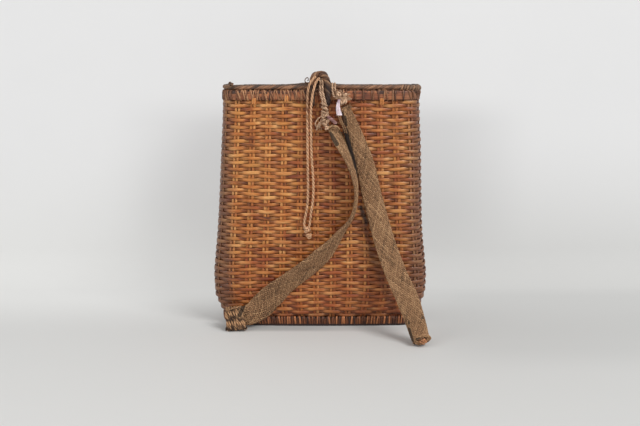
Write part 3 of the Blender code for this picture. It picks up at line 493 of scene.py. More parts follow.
class Wire:
    """A node's output that can stand in a sum."""

    def __init__(self, graph, socket):
        self.graph = graph
        self.socket = socket

    def is_vector(self):
        return self.socket.type in ("VECTOR", "RGBA")

    def math(self, operation, *others):
        values = dict(enumerate((self, *others)))
        return self.graph.add("ShaderNodeMath", {"operation": operation}, values)

    def vector_math(self, operation, *others):
        values = dict(enumerate((self, *others)))
        return self.graph.add("ShaderNodeVectorMath", {"operation": operation}, values)

    def pair(self, operation, other):
        vector = self.is_vector() or (isinstance(other, Wire) and other.is_vector())
        return self.vector_math(operation, other) if vector else self.math(operation, other)

    def __add__(self, other):
        return self.pair("ADD", other)

    __radd__ = __add__

    def __sub__(self, other):
        return self.pair("SUBTRACT", other)

    def __rsub__(self, other):
        return self * -1.0 + other

    def __mul__(self, other):
        other_is_vector = isinstance(other, Wire) and other.is_vector()
        if other_is_vector and not self.is_vector():
            return other * self
        if self.is_vector() and not other_is_vector:
            return self.graph.add("ShaderNodeVectorMath", {"operation": "SCALE"}, {0: self, "Scale": other})
        return self.pair("MULTIPLY", other)

    __rmul__ = __mul__

    def __truediv__(self, other):
        return self.pair("DIVIDE", other)

    def output(self, name):
        return Wire(self.graph, self.socket.node.outputs[name])

    def fract(self):
        return self.math("FRACT")

    def size(self):
        return self.math("ABSOLUTE")

    def clamped(self):
        return self.math("MAXIMUM", 0.0).math("MINIMUM", 1.0)

    def between(self, low, high):
        """A smooth step from 0 at low to 1 at high."""
        share = ((self - low) * (1.0 / (high - low))).clamped()
        return share * share * (3.0 - share * 2.0)

    def parts(self):
        split = self.graph.add("ShaderNodeSeparateXYZ", {}, {0: self})
        return split, split.output("Y"), split.output("Z")


class Graph:
    """Adds nodes to a tree from plain calls."""

    def __init__(self, tree):
        self.tree = tree

    def add(self, kind, settings=None, values=None, output=None):
        """A new node, its values given by a socket's name or its place among those in use."""
        node = self.tree.nodes.new(kind)
        for name, value in (settings or {}).items():
            setattr(node, name, value)
        sockets = [socket for socket in node.inputs if socket.enabled]
        for key, value in (values or {}).items():
            named = [socket for socket in sockets if socket.name == key]
            socket = named[0] if named else sockets[key]
            if isinstance(value, Wire):
                self.tree.links.new(value.socket, socket)
            else:
                socket.default_value = value
        outputs = [socket for socket in node.outputs if socket.enabled]
        found = [socket for socket in outputs if socket.name == output] or outputs
        return Wire(self, found[0]) if found else None

    def vector(self, x=0.0, y=0.0, z=0.0):
        return self.add("ShaderNodeCombineXYZ", {}, {0: x, 1: y, 2: z})

    def noise(self, vector, scale=1.0, detail=2.0, output="Fac"):
        values = {"Vector": vector, "Scale": scale, "Detail": detail}
        return self.add("ShaderNodeTexNoise", {}, values, output)

    def mix(self, factor, first, second):
        """A blend of two colours."""
        first, second = (value if isinstance(value, Wire) else (*value[:3], 1.0) for value in (first, second))
        return self.add("ShaderNodeMix", {"data_type": "RGBA"}, {0: factor, 1: first, 2: second})

    def attribute(self, name):
        return self.add("ShaderNodeAttribute", {"attribute_name": name}, {}, "Vector")

    def place(self):
        return self.add("ShaderNodeTexCoord", {}, {}, "Object")

    def seen(self):
        """1 for what the camera sees, also in a mirror or through glass, and 0 for light on the pieces."""
        path = self.add("ShaderNodeLightPath")
        return (path + path.output("Is Glossy Ray") + path.output("Is Transmission Ray")).clamped()


# The named inputs of the strand tree, with their kinds and defaults
STRAND_INPUTS = {
    "Skin": ("Object", None), "Material": ("Material", None),
    "Count": ("Int", 1), "Steps": ("Int", 40), "Sides": ("Int", 6), "Seed": ("Int", 1),
    "Around": ("Float", 0.0), "Along": ("Float", 0.0),
    "Around Shift": ("Float", 0.0), "Along Shift": ("Float", 0.0),
    "Around Run": ("Float", 0.0), "Along Run": ("Float", 0.0),
    "Phase": ("Float", 0.0), "Phase Shift": ("Float", 0.0), "Phase Run": ("Float", 0.0),
    "Lift": ("Float", 0.0), "Wave": ("Float", 0.0), "Wave Shape": ("Float", 1.0),
    "Closed": ("Float", 0.0),
    "Half Width": ("Float", 0.002), "Half Thickness": ("Float", 0.001),
    "Pinch": ("Float", 0.0), "Squareness": ("Float", 1.0), "Taper": ("Float", 0.0),
    "Side Wander": ("Float", 0.0), "Lift Wander": ("Float", 0.0), "Width Wander": ("Float", 0.0),
    "Wander Scale": ("Float", 8.0), "Along Jitter": ("Float", 0.0), "Around Jitter": ("Float", 0.0),
    "Run Jitter": ("Float", 0.0), "Length": ("Float", 1.0),
}


def new_strand_tree():
    """Geometry Nodes that lay strands over a skin, straight, slanted, woven or twisted."""
    tree = bpy.data.node_groups.new("strands_over_skin", "GeometryNodeTree")
    for name, (kind, default) in STRAND_INPUTS.items():
        socket = tree.interface.new_socket(name, in_out="INPUT", socket_type="NodeSocket" + kind)
        if default is not None:
            socket.default_value = default
    tree.interface.new_socket("Geometry", in_out="OUTPUT", socket_type="NodeSocketGeometry")
    graph = Graph(tree)
    start = tree.nodes.new("NodeGroupInput")
    value = {name: Wire(graph, start.outputs[name]) for name in STRAND_INPUTS}

    def read(name, kind):
        return graph.add("GeometryNodeInputNamedAttribute", {"data_type": kind}, {"Name": name})

    def store(geometry, name, kind, what):
        settings = {"data_type": kind, "domain": "POINT"}
        values = {0: geometry, "Name": name, "Value": what}
        return graph.add("GeometryNodeStoreNamedAttribute", settings, values)

    # One flat strip for each strand, all in one place, each with its number
    strip = graph.add("GeometryNodeMeshGrid", {}, {
        "Size X": 1.0, "Size Y": 1.0, "Vertices X": value["Sides"] + 1.0, "Vertices Y": value["Steps"]})
    line = graph.add("GeometryNodeMeshLine", {"mode": "OFFSET"}, {
        "Count": value["Count"], "Offset": (0.0, 0.0, 0.0)})
    points = store(line, "number", "FLOAT", graph.add("GeometryNodeInputIndex"))
    copies = graph.add("GeometryNodeInstanceOnPoints", {}, {"Points": points, "Instance": strip})
    whole = graph.add("GeometryNodeRealizeInstances", {}, {0: copies})
    number = read("number", "FLOAT")

    def chance(low, high, more):
        return graph.add("FunctionNodeRandomValue", {"data_type": "FLOAT"}, {
            "Min": low, "Max": high, "ID": number, "Seed": value["Seed"] + float(more)})

    # Where a point is on its strand: a turn round it and a share along it
    here = graph.add("GeometryNodeInputPosition")
    across, up, _ = here.parts()
    turn = (across + 0.5) * (2 * math.pi)
    row = (up + 0.5) * (value["Steps"] - 1.0)
    open_share = ((row - 1.0) / (value["Steps"] - 3.0)).clamped()
    share = open_share + (up + 0.5 - open_share) * value["Closed"]
    between_ends = row.math("GREATER_THAN", 0.5) * row.math("LESS_THAN", value["Steps"] - 1.5)
    thickness_share = between_ends + (1.0 - between_ends) * value["Closed"]
    thickness_share = thickness_share * (1.0 - value["Taper"] * share)

    run = chance(-1.0, 1.0, 1) * value["Run Jitter"] + 1.0
    around = (value["Around"] + number * value["Around Shift"] + share * value["Around Run"] * run
              + chance(-1.0, 1.0, 2) * value["Around Jitter"])
    along = (value["Along"] + number * value["Along Shift"] + share * value["Along Run"]
             + chance(-1.0, 1.0, 3) * value["Along Jitter"])
    phase = value["Phase"] + number * value["Phase Shift"] + share * value["Phase Run"]
    swing = (phase * math.pi).math("COSINE")
    wave = swing.math("SIGN") * swing.size().math("POWER", value["Wave Shape"])
    wander_turn = share * (2 * math.pi)
    wander_place = graph.vector(
        wander_turn.math("COSINE") * value["Wander Scale"] * (1 / (2 * math.pi)) + number * 7.3,
        wander_turn.math("SINE") * value["Wander Scale"] * (1 / (2 * math.pi)),
        value["Seed"] * 1.37)
    wander = graph.noise(wander_place, 1.0, 1.0, "Color") - (0.5, 0.5, 0.5)
    side_wander, lift_wander, width_wander = wander.parts()

    # The skin's point, outward way and strand's way there
    skin = graph.add("GeometryNodeObjectInfo", {"transform_space": "ORIGINAL"},
                     {"Object": value["Skin"]}, "Geometry")
    skin_map = read("skin", "FLOAT_VECTOR")
    outward = read("out", "FLOAT_VECTOR")

    def sample(what, step):
        u = (around + value["Around Run"] * step).fract()
        v = along + value["Along Run"] * step
        scale = 1 / (1 + 2 * SKIN_MARGIN)
        spot = graph.vector((u + SKIN_MARGIN) * scale, (v + SKIN_MARGIN) * scale)
        return graph.add("GeometryNodeSampleUVSurface", {"data_type": "FLOAT_VECTOR"}, {
            "Mesh": skin, "Value": what, "UV Map": skin_map, "Sample UV": spot})

    step = value["Steps"].math("POWER", -1.0) * 0.5
    place = sample(here, 0.0)
    normal = sample(outward, 0.0).vector_math("NORMALIZE")
    forward = sample(here, step) - sample(here, step * -1.0)
    side = normal.vector_math("CROSS_PRODUCT", forward).vector_math("NORMALIZE")

    def rounded(flat):
        return flat.math("SIGN") * flat.size().math("POWER", value["Squareness"])

    width = value["Half Width"] * (1.0 + value["Pinch"] * wave)
    width = width * (1.0 + (width_wander + chance(-0.5, 0.5, 4)) * value["Width Wander"])
    wide = rounded(turn.math("COSINE")) * width * thickness_share
    thick = rounded(turn.math("SINE")) * value["Half Thickness"] * thickness_share
    lift = value["Lift"] + value["Wave"] * wave + lift_wander * value["Lift Wander"]
    moved = place + normal * (lift + thick) + side * (wide + side_wander * value["Side Wander"])

    # What the materials read: metres along and across, and the strand's own chance and crest
    grain = graph.vector(share * value["Length"], wide, number + chance(0.0, 0.9, 5))
    tone = graph.vector(chance(0.0, 1.0, 6), wave * 0.5 + 0.5, turn.math("SINE") * 0.5 + 0.5)
    whole = store(whole, "grain", "FLOAT_VECTOR", grain)
    whole = store(whole, "tone", "FLOAT_VECTOR", tone)
    whole = store(whole, "lie", "FLOAT_VECTOR", graph.vector(around.fract(), along))
    whole = graph.add("GeometryNodeSetPosition", {}, {"Geometry": whole, "Position": moved})
    whole = graph.add("GeometryNodeMergeByDistance", {}, {"Geometry": whole, "Distance": 0.000002})
    whole = graph.add("GeometryNodeSetShadeSmooth", {}, {"Geometry": whole, "Shade Smooth": True})
    whole = graph.add("GeometryNodeRealizeInstances", {}, {0: whole})
    whole = graph.add("GeometryNodeSetMaterial", {}, {"Geometry": whole, "Material": value["Material"]})
    end = tree.nodes.new("NodeGroupOutput")
    tree.links.new(whole.socket, end.inputs[0])
    return tree


def strand_tree():
    return bpy.data.node_groups.get("strands_over_skin") or new_strand_tree()


def new_object(name, mesh):
    made = bpy.data.objects.new(name, mesh)
    bpy.context.scene.collection.objects.link(made)
    return made


def drop(thing):
    """Removes a helper object and its mesh."""
    mesh = thing.data
    bpy.data.objects.remove(thing)
    bpy.data.meshes.remove(mesh)


def lay(skin, material, **inputs):
    """A mesh of strands over a skin; inputs are the tree's, with _ for a space."""
    tree = strand_tree()
    holder = new_object("strands", bpy.data.meshes.new("strands"))
    modifier = holder.modifiers.new("strands", "NODES")
    modifier.node_group = tree
    given = {name.replace("_", " ").title(): value for name, value in inputs.items()}
    given["Skin"] = skin
    given["Material"] = material
    for item in tree.interface.items_tree:
        if item.in_out == "INPUT" and item.name in given:
            value = given.pop(item.name)
            modifier[item.identifier] = float(value) if item.socket_type == "NodeSocketFloat" else value
    if given:
        raise ValueError(f"the strand tree has no input named {sorted(given)}")
    bpy.context.view_layer.update()
    depsgraph = bpy.context.evaluated_depsgraph_get()
    made = bpy.data.meshes.new_from_object(holder.evaluated_get(depsgraph), depsgraph=depsgraph)
    drop(holder)
    if not made.polygons:
        raise ValueError("the strand tree made nothing")
    return made


def joined(name, meshes):
    """One object from several meshes, with their attributes and materials."""
    materials = []
    whole = bmesh.new()
    for mesh in meshes:
        first_face = len(whole.faces)
        own = list(mesh.materials) or [None]
        whole.from_mesh(mesh)
        whole.faces.ensure_lookup_table()
        for material in own:
            if material not in materials:
                materials.append(material)
        for face in whole.faces[first_face:]:
            face.material_index = materials.index(own[min(face.material_index, len(own) - 1)])
            face.smooth = True
        bpy.data.meshes.remove(mesh)
    bmesh.ops.recalc_face_normals(whole, faces=whole.faces)
    made = bpy.data.meshes.new(name)
    whole.to_mesh(made)
    whole.free()
    for material in materials:
        made.materials.append(material)
    return new_object(name, made)


def blend_points(first, second, share):
    return first + (second - first) * share


def spaced(points, count):
    """Count + 1 points at even distances along the straight runs between the given ones."""
    travelled = [0.0]
    for before, after in zip(points, points[1:]):
        travelled.append(travelled[-1] + (after - before).length)
    spots = []
    place = 0
    for index in range(count + 1):
        wanted = travelled[-1] * index / count
        while place < len(points) - 2 and travelled[place + 1] < wanted:
            place += 1
        gap = travelled[place + 1] - travelled[place]
        share = (wanted - travelled[place]) / gap if gap else 0
        spots.append(blend_points(points[place], points[place + 1], share))
    return spots


def even_path(points, count, closed=False):
    """Points at even distances along a smooth curve through the given ones."""
    points = [Vector(point) for point in points]
    last = len(points) if closed else len(points) - 1

    def corner(index):
        if closed:
            return points[index % len(points)]
        if index < 0:
            return points[0] * 2 - points[1]
        if index >= len(points):
            return points[-1] * 2 - points[-2]
        return points[index]

    fine = []
    for index in range(last):
        a, b, c, d = (corner(index + offset) for offset in (-1, 0, 1, 2))
        for step in range(16):
            t = step / 16
            fine.append(0.5 * (b * 2 + (c - a) * t + (a * 2 - b * 5 + c * 4 - d) * t * t
                               + (b * 3 - a - c * 3 + d) * t * t * t))
    fine.append(corner(last) if not closed else points[0].copy())
    return spaced(fine, count)


def path_length(path):
    return sum((after - before).length for before, after in zip(path, path[1:]))


class Path:
    """An even path with a side and an outward way at each point that don't twist."""

    def __init__(self, points, count=120, closed=False, outward=FRONT):
        self.points = even_path(points, count, closed)
        self.closed = closed
        self.length = path_length(self.points)
        self.ways = []
        self.outs = []
        last = len(self.points) - 1
        for index in range(last + 1):
            if closed:
                before = self.points[(index - 1) % last]
                after = self.points[(index + 1) % last]
            else:
                before = self.points[max(0, index - 1)]
                after = self.points[min(last, index + 1)]
            self.ways.append((after - before).normalized())
        out = Vector(outward)
        for way in self.ways:
            out = (out - way * out.dot(way)).normalized()
            self.outs.append(out)
        if closed:
            # The turn that is left over at the joint is shared out along the path
            start = self.outs[0]
            side = self.ways[0].cross(start)
            end = self.outs[-1]
            spare = math.atan2(end.dot(side), end.dot(start))
            for index, way in enumerate(self.ways):
                out = self.outs[index]
                turn = -spare * index / last
                self.outs[index] = out * math.cos(turn) + way.cross(out) * math.sin(turn)

    def at(self, share):
        """Point, way, side and outward at a share of the length."""
        last = len(self.points) - 1
        if self.closed:
            share %= 1.0
        wanted = min(max(share, 0.0), 1.0) * last
        place = min(int(wanted), last - 1)
        rest = wanted - place
        point = blend_points(self.points[place], self.points[place + 1], rest)
        way = blend_points(self.ways[place], self.ways[place + 1], rest).normalized()
        out = blend_points(self.outs[place], self.outs[place + 1], rest).normalized()
        if share < 0.0 or share > 1.0:
            point = point + way * ((share if share < 0.0 else share - 1.0) * self.length)
        return point, way, out.cross(way).normalized(), out


def make_skin(place, columns, rows):
    """A grid whose points lie at place(around, along), with the way out at each."""
    grid = bmesh.new()
    bmesh.ops.create_grid(grid, x_segments=columns, y_segments=rows, size=0.5)
    mesh = bpy.data.meshes.new("skin")
    grid.to_mesh(mesh)
    grid.free()
    skin_map = mesh.attributes.new("skin", "FLOAT_VECTOR", "POINT")
    outward = mesh.attributes.new("out", "FLOAT_VECTOR", "POINT")
    spread = 1 + 2 * SKIN_MARGIN
    for index, vertex in enumerate(mesh.vertices):
        u = vertex.co.x + 0.5
        v = vertex.co.y + 0.5
        point, out = place(u * spread - SKIN_MARGIN, v * spread - SKIN_MARGIN)
        vertex.co = point
        skin_map.data[index].vector = (u, v, 0.0)
        outward.data[index].vector = out
    return new_object("skin", mesh)


def tube_place(path, radius):
    """Places round a path; radius is a number or a function of the share along it."""
    def place(around, along):
        point, way, side, out = path.at(along)
        turn = 2 * math.pi * around
        ray = out * math.cos(turn) + side * math.sin(turn)
        size = radius(along) if callable(radius) else radius
        return point + ray * size, ray
    return place


def lay_over(place, columns, rows, material, **inputs):
    """A mesh of strands over places, on a skin that is needed only here."""
    skin = make_skin(place, columns, rows)
    mesh = lay(skin, material, **inputs)
    drop(skin)
    return mesh


def mesh_of_rows(name, rows, material, tube=False):
    """A smooth mesh over rows of points, each with its grain; a tube's rows are rings, its ends closed."""
    shape = bmesh.new()
    grain = shape.verts.layers.float_vector.new("grain")
    tone = shape.verts.layers.float_vector.new("tone")
    lines = []
    for row in rows:
        line = []
        for point, own_grain in row:
            vertex = shape.verts.new(point)
            vertex[grain] = own_grain
            vertex[tone] = (0.5, 0.0, 0.5)
            line.append(vertex)
        lines.append(line)
    for low, high in zip(lines, lines[1:]):
        for column in range(len(low) if tube else len(low) - 1):
            after = (column + 1) % len(low)
            face = shape.faces.new((low[column], low[after], high[after], high[column]))
            face.smooth = True
    if tube:
        shape.faces.new(lines[0])
        shape.faces.new(lines[-1])
        bmesh.ops.recalc_face_normals(shape, faces=shape.faces)
    mesh = bpy.data.meshes.new(name)
    shape.to_mesh(mesh)
    shape.free()
    mesh.materials.append(material)
    return mesh


def ring_of(place, columns, along, lift=0.0, grain_width=0.01):
    """A ring of points over a skin's places, with their grain."""
    spots = [place(column / columns, along) for column in range(columns)]
    return [(point + out * lift, (along, column / columns * grain_width, 0.0))
            for column, (point, out) in enumerate(spots)]


def closed_tube(place, columns, rows, material, lift=0.0):
    """A plain closed tube over a skin's places, with its grain."""
    rings = [ring_of(place, columns, row / rows, lift) for row in range(rows + 1)]
    return mesh_of_rows("tube", rings, material, tube=True)


def surface_of(node):
    """A CAD node's faces, for rays to hit."""
    mesh = frame["nodes"][node].data
    vertices = [vertex.co.copy() for vertex in mesh.vertices]
    faces = [tuple(face.vertices) for face in mesh.polygons]
    return BVHTree.FromPolygons(vertices, faces)


def even_ring(hits, count):
    """A closed ring of points at even distances, from the first hit on."""
    return spaced(hits + [hits[0]], count)[:-1]


class Outline:
    """The outline of a CAD ring or wall at several heights, from the back's middle.

    The ring's plain inside is traced and set out by the ring's thickness, so that
    relief on its outside doesn't count.
    """

    COUNT = 480

    def __init__(self, node, levels, thickness):
        surface = surface_of(node)
        self.levels = levels
        self.rings = []
        for level in levels:
            hits = []
            for index in range(720):
                turn = 2 * math.pi * index / 720
                way = Vector((-math.sin(turn), math.cos(turn), 0.0))
                hit = surface.ray_cast(Vector((0.0, 0.0, level)), way)[0]
                if hit is not None:
                    hits.append(hit)
            inside = even_ring(hits, self.COUNT)
            outside = []
            for index, point in enumerate(inside):
                along = inside[(index + 1) % self.COUNT] - inside[index - 1]
                outside.append(point + Vector((along.y, -along.x, 0.0)).normalized() * thickness)
            self.rings.append(even_ring(outside, self.COUNT))

    def ring_point(self, ring, around):
        wanted = (around % 1.0) * self.COUNT
        place = int(wanted) % self.COUNT
        return blend_points(ring[place], ring[(place + 1) % self.COUNT], wanted - int(wanted))

    def at(self, around, level):
        """The point on the outline and the level way out from it."""
        inside = min(max(level, self.levels[0]), self.levels[-1])
        place = 0
        while place < len(self.levels) - 2 and self.levels[place + 1] < inside:
            place += 1
        rest = 0.0
        if len(self.levels) > 1:
            rest = (inside - self.levels[place]) / (self.levels[place + 1] - self.levels[place])

        def middle(share):
            low = self.ring_point(self.rings[place], share)
            high = self.ring_point(self.rings[min(place + 1, len(self.rings) - 1)], share)
            return blend_points(low, high, rest)

        point = middle(around)
        way = middle(around + 0.004) - middle(around - 0.004)
        point.z = level
        return point, Vector((way.y, -way.x, 0.0)).normalized()


class Sleeve:
    """A strap's outer skin, traced on its CAD solid ring by ring along its route."""

    COUNT = 64
    REACH = 0.026

    def __init__(self, node, route, stations, spread):
        surface = surface_of(node)
        self.path = Path(route, 160)
        self.stations = stations
        self.rings = []
        self.middles = []
        last_spokes = [0.01] * 128
        for station in range(stations + 1):
            share = (station + 0.25) / (stations + 0.5)
            middle, way, _, _ = self.path.at(share)
            wide = FRONT.cross(way).normalized()
            thin = wide.cross(way)
            hits = []
            spokes = []
            for index in range(128):
                turn = 2 * math.pi * index / 128
                ray = wide * math.cos(turn) + thin * math.sin(turn)
                hit = surface.ray_cast(middle + ray * self.REACH, -ray, self.REACH)[0]
                spoke = (hit - middle).length if hit is not None else last_spokes[index]
                spokes.append(spoke)
                hits.append(middle + ray * spoke)
            last_spokes = spokes
            # A looser weave than the solid's: wider toward its two edges
            low, high = spread(share)
            reach = max(abs((hit - middle).dot(wide)) for hit in hits)
            for index, hit in enumerate(hits):
                edge = (hit - middle).dot(wide) / reach
                hits[index] = hit + wide * (edge * (high if edge > 0 else low))
            self.rings.append(even_ring(hits, self.COUNT))
            self.middles.append(middle)
        for _ in range(2):
            self.rings = [self.softer(station) for station in range(stations + 1)]

    def softer(self, station):
        low = self.rings[max(0, station - 1)]
        here = self.rings[station]
        high = self.rings[min(self.stations, station + 1)]
        if low is here or high is here:
            return here
        return [a * 0.25 + b * 0.5 + c * 0.25 for a, b, c in zip(low, here, high)]

    def point(self, around, along):
        wanted = min(max(along, 0.0), 1.0) * self.stations
        place = min(int(wanted), self.stations - 1)
        turn = (around % 1.0) * self.COUNT
        column = int(turn) % self.COUNT
        after = (column + 1) % self.COUNT
        rest = turn - int(turn)
        low = blend_points(self.rings[place][column], self.rings[place][after], rest)
        high = blend_points(self.rings[place + 1][column], self.rings[place + 1][after], rest)
        point = blend_points(low, high, wanted - place)
        if along < 0.0 or along > 1.0:
            way = self.path.at(along)[1]
            point = point + way * ((along if along < 0.0 else along - 1.0) * self.path.length)
        return point

    def place(self, around, along):
        small = 0.01
        point = self.point(around, along)
        turning = self.point(around + small, along) - self.point(around - small, along)
        running = self.path.at(along)[1]
        out = turning.cross(running).normalized()
        place = min(int(min(max(along, 0.0), 1.0) * self.stations), self.stations)
        if out.dot(point - self.middles[place]) < 0.0:
            out.negate()
        return point, out


def new_surface(name):
    """A material with its tree cleared to one Principled shader."""
    material = bpy.data.materials.new(name)
    material.use_nodes = True
    material.node_tree.nodes.clear()
    graph = Graph(material.node_tree)
    shader = graph.add("ShaderNodeBsdfPrincipled")
    graph.add("ShaderNodeOutputMaterial", {}, {"Surface": shader})
    return material, graph, shader.socket.node


def connect(graph, shader, colour, roughness, height=None, depth=0.0002):
    """Feeds what varies to the shader, with a bump from a height of 0 to 1."""
    graph.tree.links.new(colour.socket, shader.inputs["Base Color"])
    graph.tree.links.new(roughness.socket, shader.inputs["Roughness"])
    if height is not None:
        bump = graph.add("ShaderNodeBump", {}, {"Strength": 1.0, "Distance": depth, "Height": height})
        graph.tree.links.new(bump.socket, shader.inputs["Normal"])


def tones(colours, stem):
    """The light, middle and dark colour of one kind of fibre."""
    return [getattr(colours, f"{stem}_{tone}") for tone in ("light", "middle", "dark")]


def fibre(name, light, middle, dark, rough=0.5, fine=1400.0, long=45.0, edge=0.5, vary=0.5,
          tint=None, blotchy=1.4, fleck=0.0):
    """Dry plant fibre: streaks along each strand, strands that differ, edges darkened by painted shade and grime, and
    bright flecks.
    """
    material, graph, shader = new_surface(name)
    along, across, strand = graph.attribute("grain").parts()
    chance, crest, top = graph.attribute("tone").parts()
    streak = graph.noise(graph.vector(along * long, across * fine, strand * 3.1), 1.0, 3.0)
    blotch = graph.noise(graph.vector(along * 28.0, strand * 5.7, across * 90.0), 1.0, 2.0)
    shade = (streak - 0.5) * 1.5 + (blotch - 0.5) * blotchy + (chance - 0.5) * vary + 0.5
    # The strands' sides and backs are darkened: painted shade and grime where strands meet
    edges = (1.0 - top) * edge
    colour = graph.mix((shade * 2.0).clamped(), dark, middle)
    colour = graph.mix((shade * 2.0 - 1.0).clamped(), colour, light)
    if fleck:
        spots = graph.noise(graph.vector(along * 700.0, across * 1000.0, strand * 4.3), 1.0, 1.0)
        colour = graph.mix(spots.between(0.5, 0.66) * fleck, colour, light)
    if tint:
        colour = tint(graph, colour, crest, along, strand)
    colour = graph.mix(edges.clamped(), colour, dark)
    connect(graph, shader, colour, (1.0 - streak) * 0.2 + rough, streak, 0.00012)
    return material


def patch(graph, start, end, half_width, firm=0.65):
    """1 near a line in the front view, given by x and z, and 0 away from it; firm is its even part."""
    x, _, z = graph.place().parts()
    run_x, run_z = end[0] - start[0], end[1] - start[1]
    share = ((x - start[0]) * run_x + (z - start[1]) * run_z) * (1.0 / (run_x ** 2 + run_z ** 2))
    share = share.clamped()
    far_x = x - start[0] - share * run_x
    far_z = z - start[1] - share * run_z
    distance = (far_x * far_x + far_z * far_z).math("SQRT")
    return 1.0 - distance.between(half_width * firm, half_width * 1.15)


def basket_tint(colours):
    """The cane's colour over the whole basket, from where a point is, with painted shade in its recesses, on its right
    and beside the right strap.
    """
    def tint(graph, colour, crest, along, strand):
        x, y, z = graph.place().parts()
        blot = graph.noise(graph.place(), 14.0, 3.0)
        hue = graph.noise(graph.vector(along * 24.0, strand * 9.1, 3.0), 1.0, 1.0)
        low = (0.17 - z + (blot - 0.5) * 0.22).between(0.0, 0.16)
        high_left = (x * -1.0).between(0.02, 0.13) * z.between(0.2, 0.33) * blot.between(0.3, 0.6)
        middle = 1.0 - (x - 0.03).size().between(0.03, 0.09)
        middle = middle * z.between(0.16, 0.28) * blot.between(0.25, 0.6)
        sides = x.size().between(0.134, 0.16)
        deep = (1.0 - crest).between(0.15, 0.85)
        foot = (0.034 - z + (blot - 0.5) * 0.02).between(0.0, 0.016)
        colour = graph.mix(hue.between(0.52, 0.66) * 0.55, colour, colours.splint_red)
        colour = graph.mix((1.0 - hue).between(0.53, 0.68) * 0.5, colour, colours.splint_gold)
        colour = graph.mix(low * 0.38, colour, colours.splint_red)
        colour = graph.mix(middle * 0.4, colour, colours.splint_red)
        colour = graph.mix(high_left * 0.3, colour, colours.splint_gold)
        colour = graph.mix(sides * 0.72, colour, colours.splint_grey)
        # Painted shade and grime in the recesses where the splints dip under the stakes; the wall is also darker
        # towards its foot
        colour = graph.mix(deep * 0.45 + foot * 0.45, colour, colours.splint_dark)
        # Painted shade: the wall is darker toward its right
        colour = graph.mix(x.between(0.01, 0.14) * 0.16, colour, colours.splint_dark)
        front = (y * -1.0).between(0.04, 0.07)
        # Darker in patches at the front's lower left corner
        low_left_dark = patch(graph, (-0.158, 0.06), (-0.146, 0.036), 0.014) * blot.between(0.3, 0.55)
        colour = graph.mix(low_left_dark * front * 0.55, colour, colours.splint_dark)
        # Painted shadow of the right strap on the wall to its left, and a near black painted shadow in the gap beside
        # its upper part
        strap_shadow = patch(graph, (0.074, 0.166), (0.086, 0.131), 0.006, 0.2)
        strap_shadow = strap_shadow.math("MAXIMUM", patch(graph, (0.086, 0.131), (0.1265, 0.018), 0.011, 0.3))
        colour = graph.mix(strap_shadow * front * 0.66, colour, colours.splint_dark)
        black = patch(graph, (0.0668, 0.202), (0.0762, 0.177), 0.0058, 0.1)
        return graph.mix(black * front * 0.9, colour, colours.handle_dark)
    return tint


def hoop_cane(name, light, dark, hole=(1.0, 1.1)):
    """Cane bent round the basket, for a CAD hoop that stays; it is painted near black between the two heights of a
    hole, as the hole's shade.
    """
    material, graph, shader = new_surface(name)
    x, y, z = graph.place().parts()
    streak = graph.noise(graph.vector(x * 30.0, y * 30.0, z * 1500.0), 1.0, 3.0)
    blotch = graph.noise(graph.place(), 60.0, 2.0)
    shade = ((streak - 0.5) * 1.6 + (blotch - 0.5) * 1.6 + 0.5).clamped()
    colour = graph.mix(shade, dark, light)
    colour = graph.mix(z.between(*hole) * 0.85, colour, (0.006, 0.004, 0.003))
    connect(graph, shader, colour, streak * 0.2 + 0.45, streak, 0.0002)
    return material


def woven_cloth(name, light, dark):
    """Thin pale cloth with a fine weave that follows the strip's own map."""
    material, graph, shader = new_surface(name)
    u, v, _ = graph.attribute("grain").parts()
    threads = (u * 14000.0).math("SINE") * (v * 14000.0).math("SINE") * 0.5 + 0.5
    # The folds noise paints the shade of folds; a band near the top end is darker too
    folds = graph.noise(graph.vector(u * 300.0, v * 90.0, 1.0), 1.0, 3.0)
    colour = graph.mix((folds * 1.4 - 0.1 + threads * 0.15).clamped(), dark, light)
    colour = graph.mix(v.between(0.018, 0.023) * 0.7, colour, dark)
    connect(graph, shader, colour, folds * 0.1 + 0.85, threads, 0.00004)
    return material


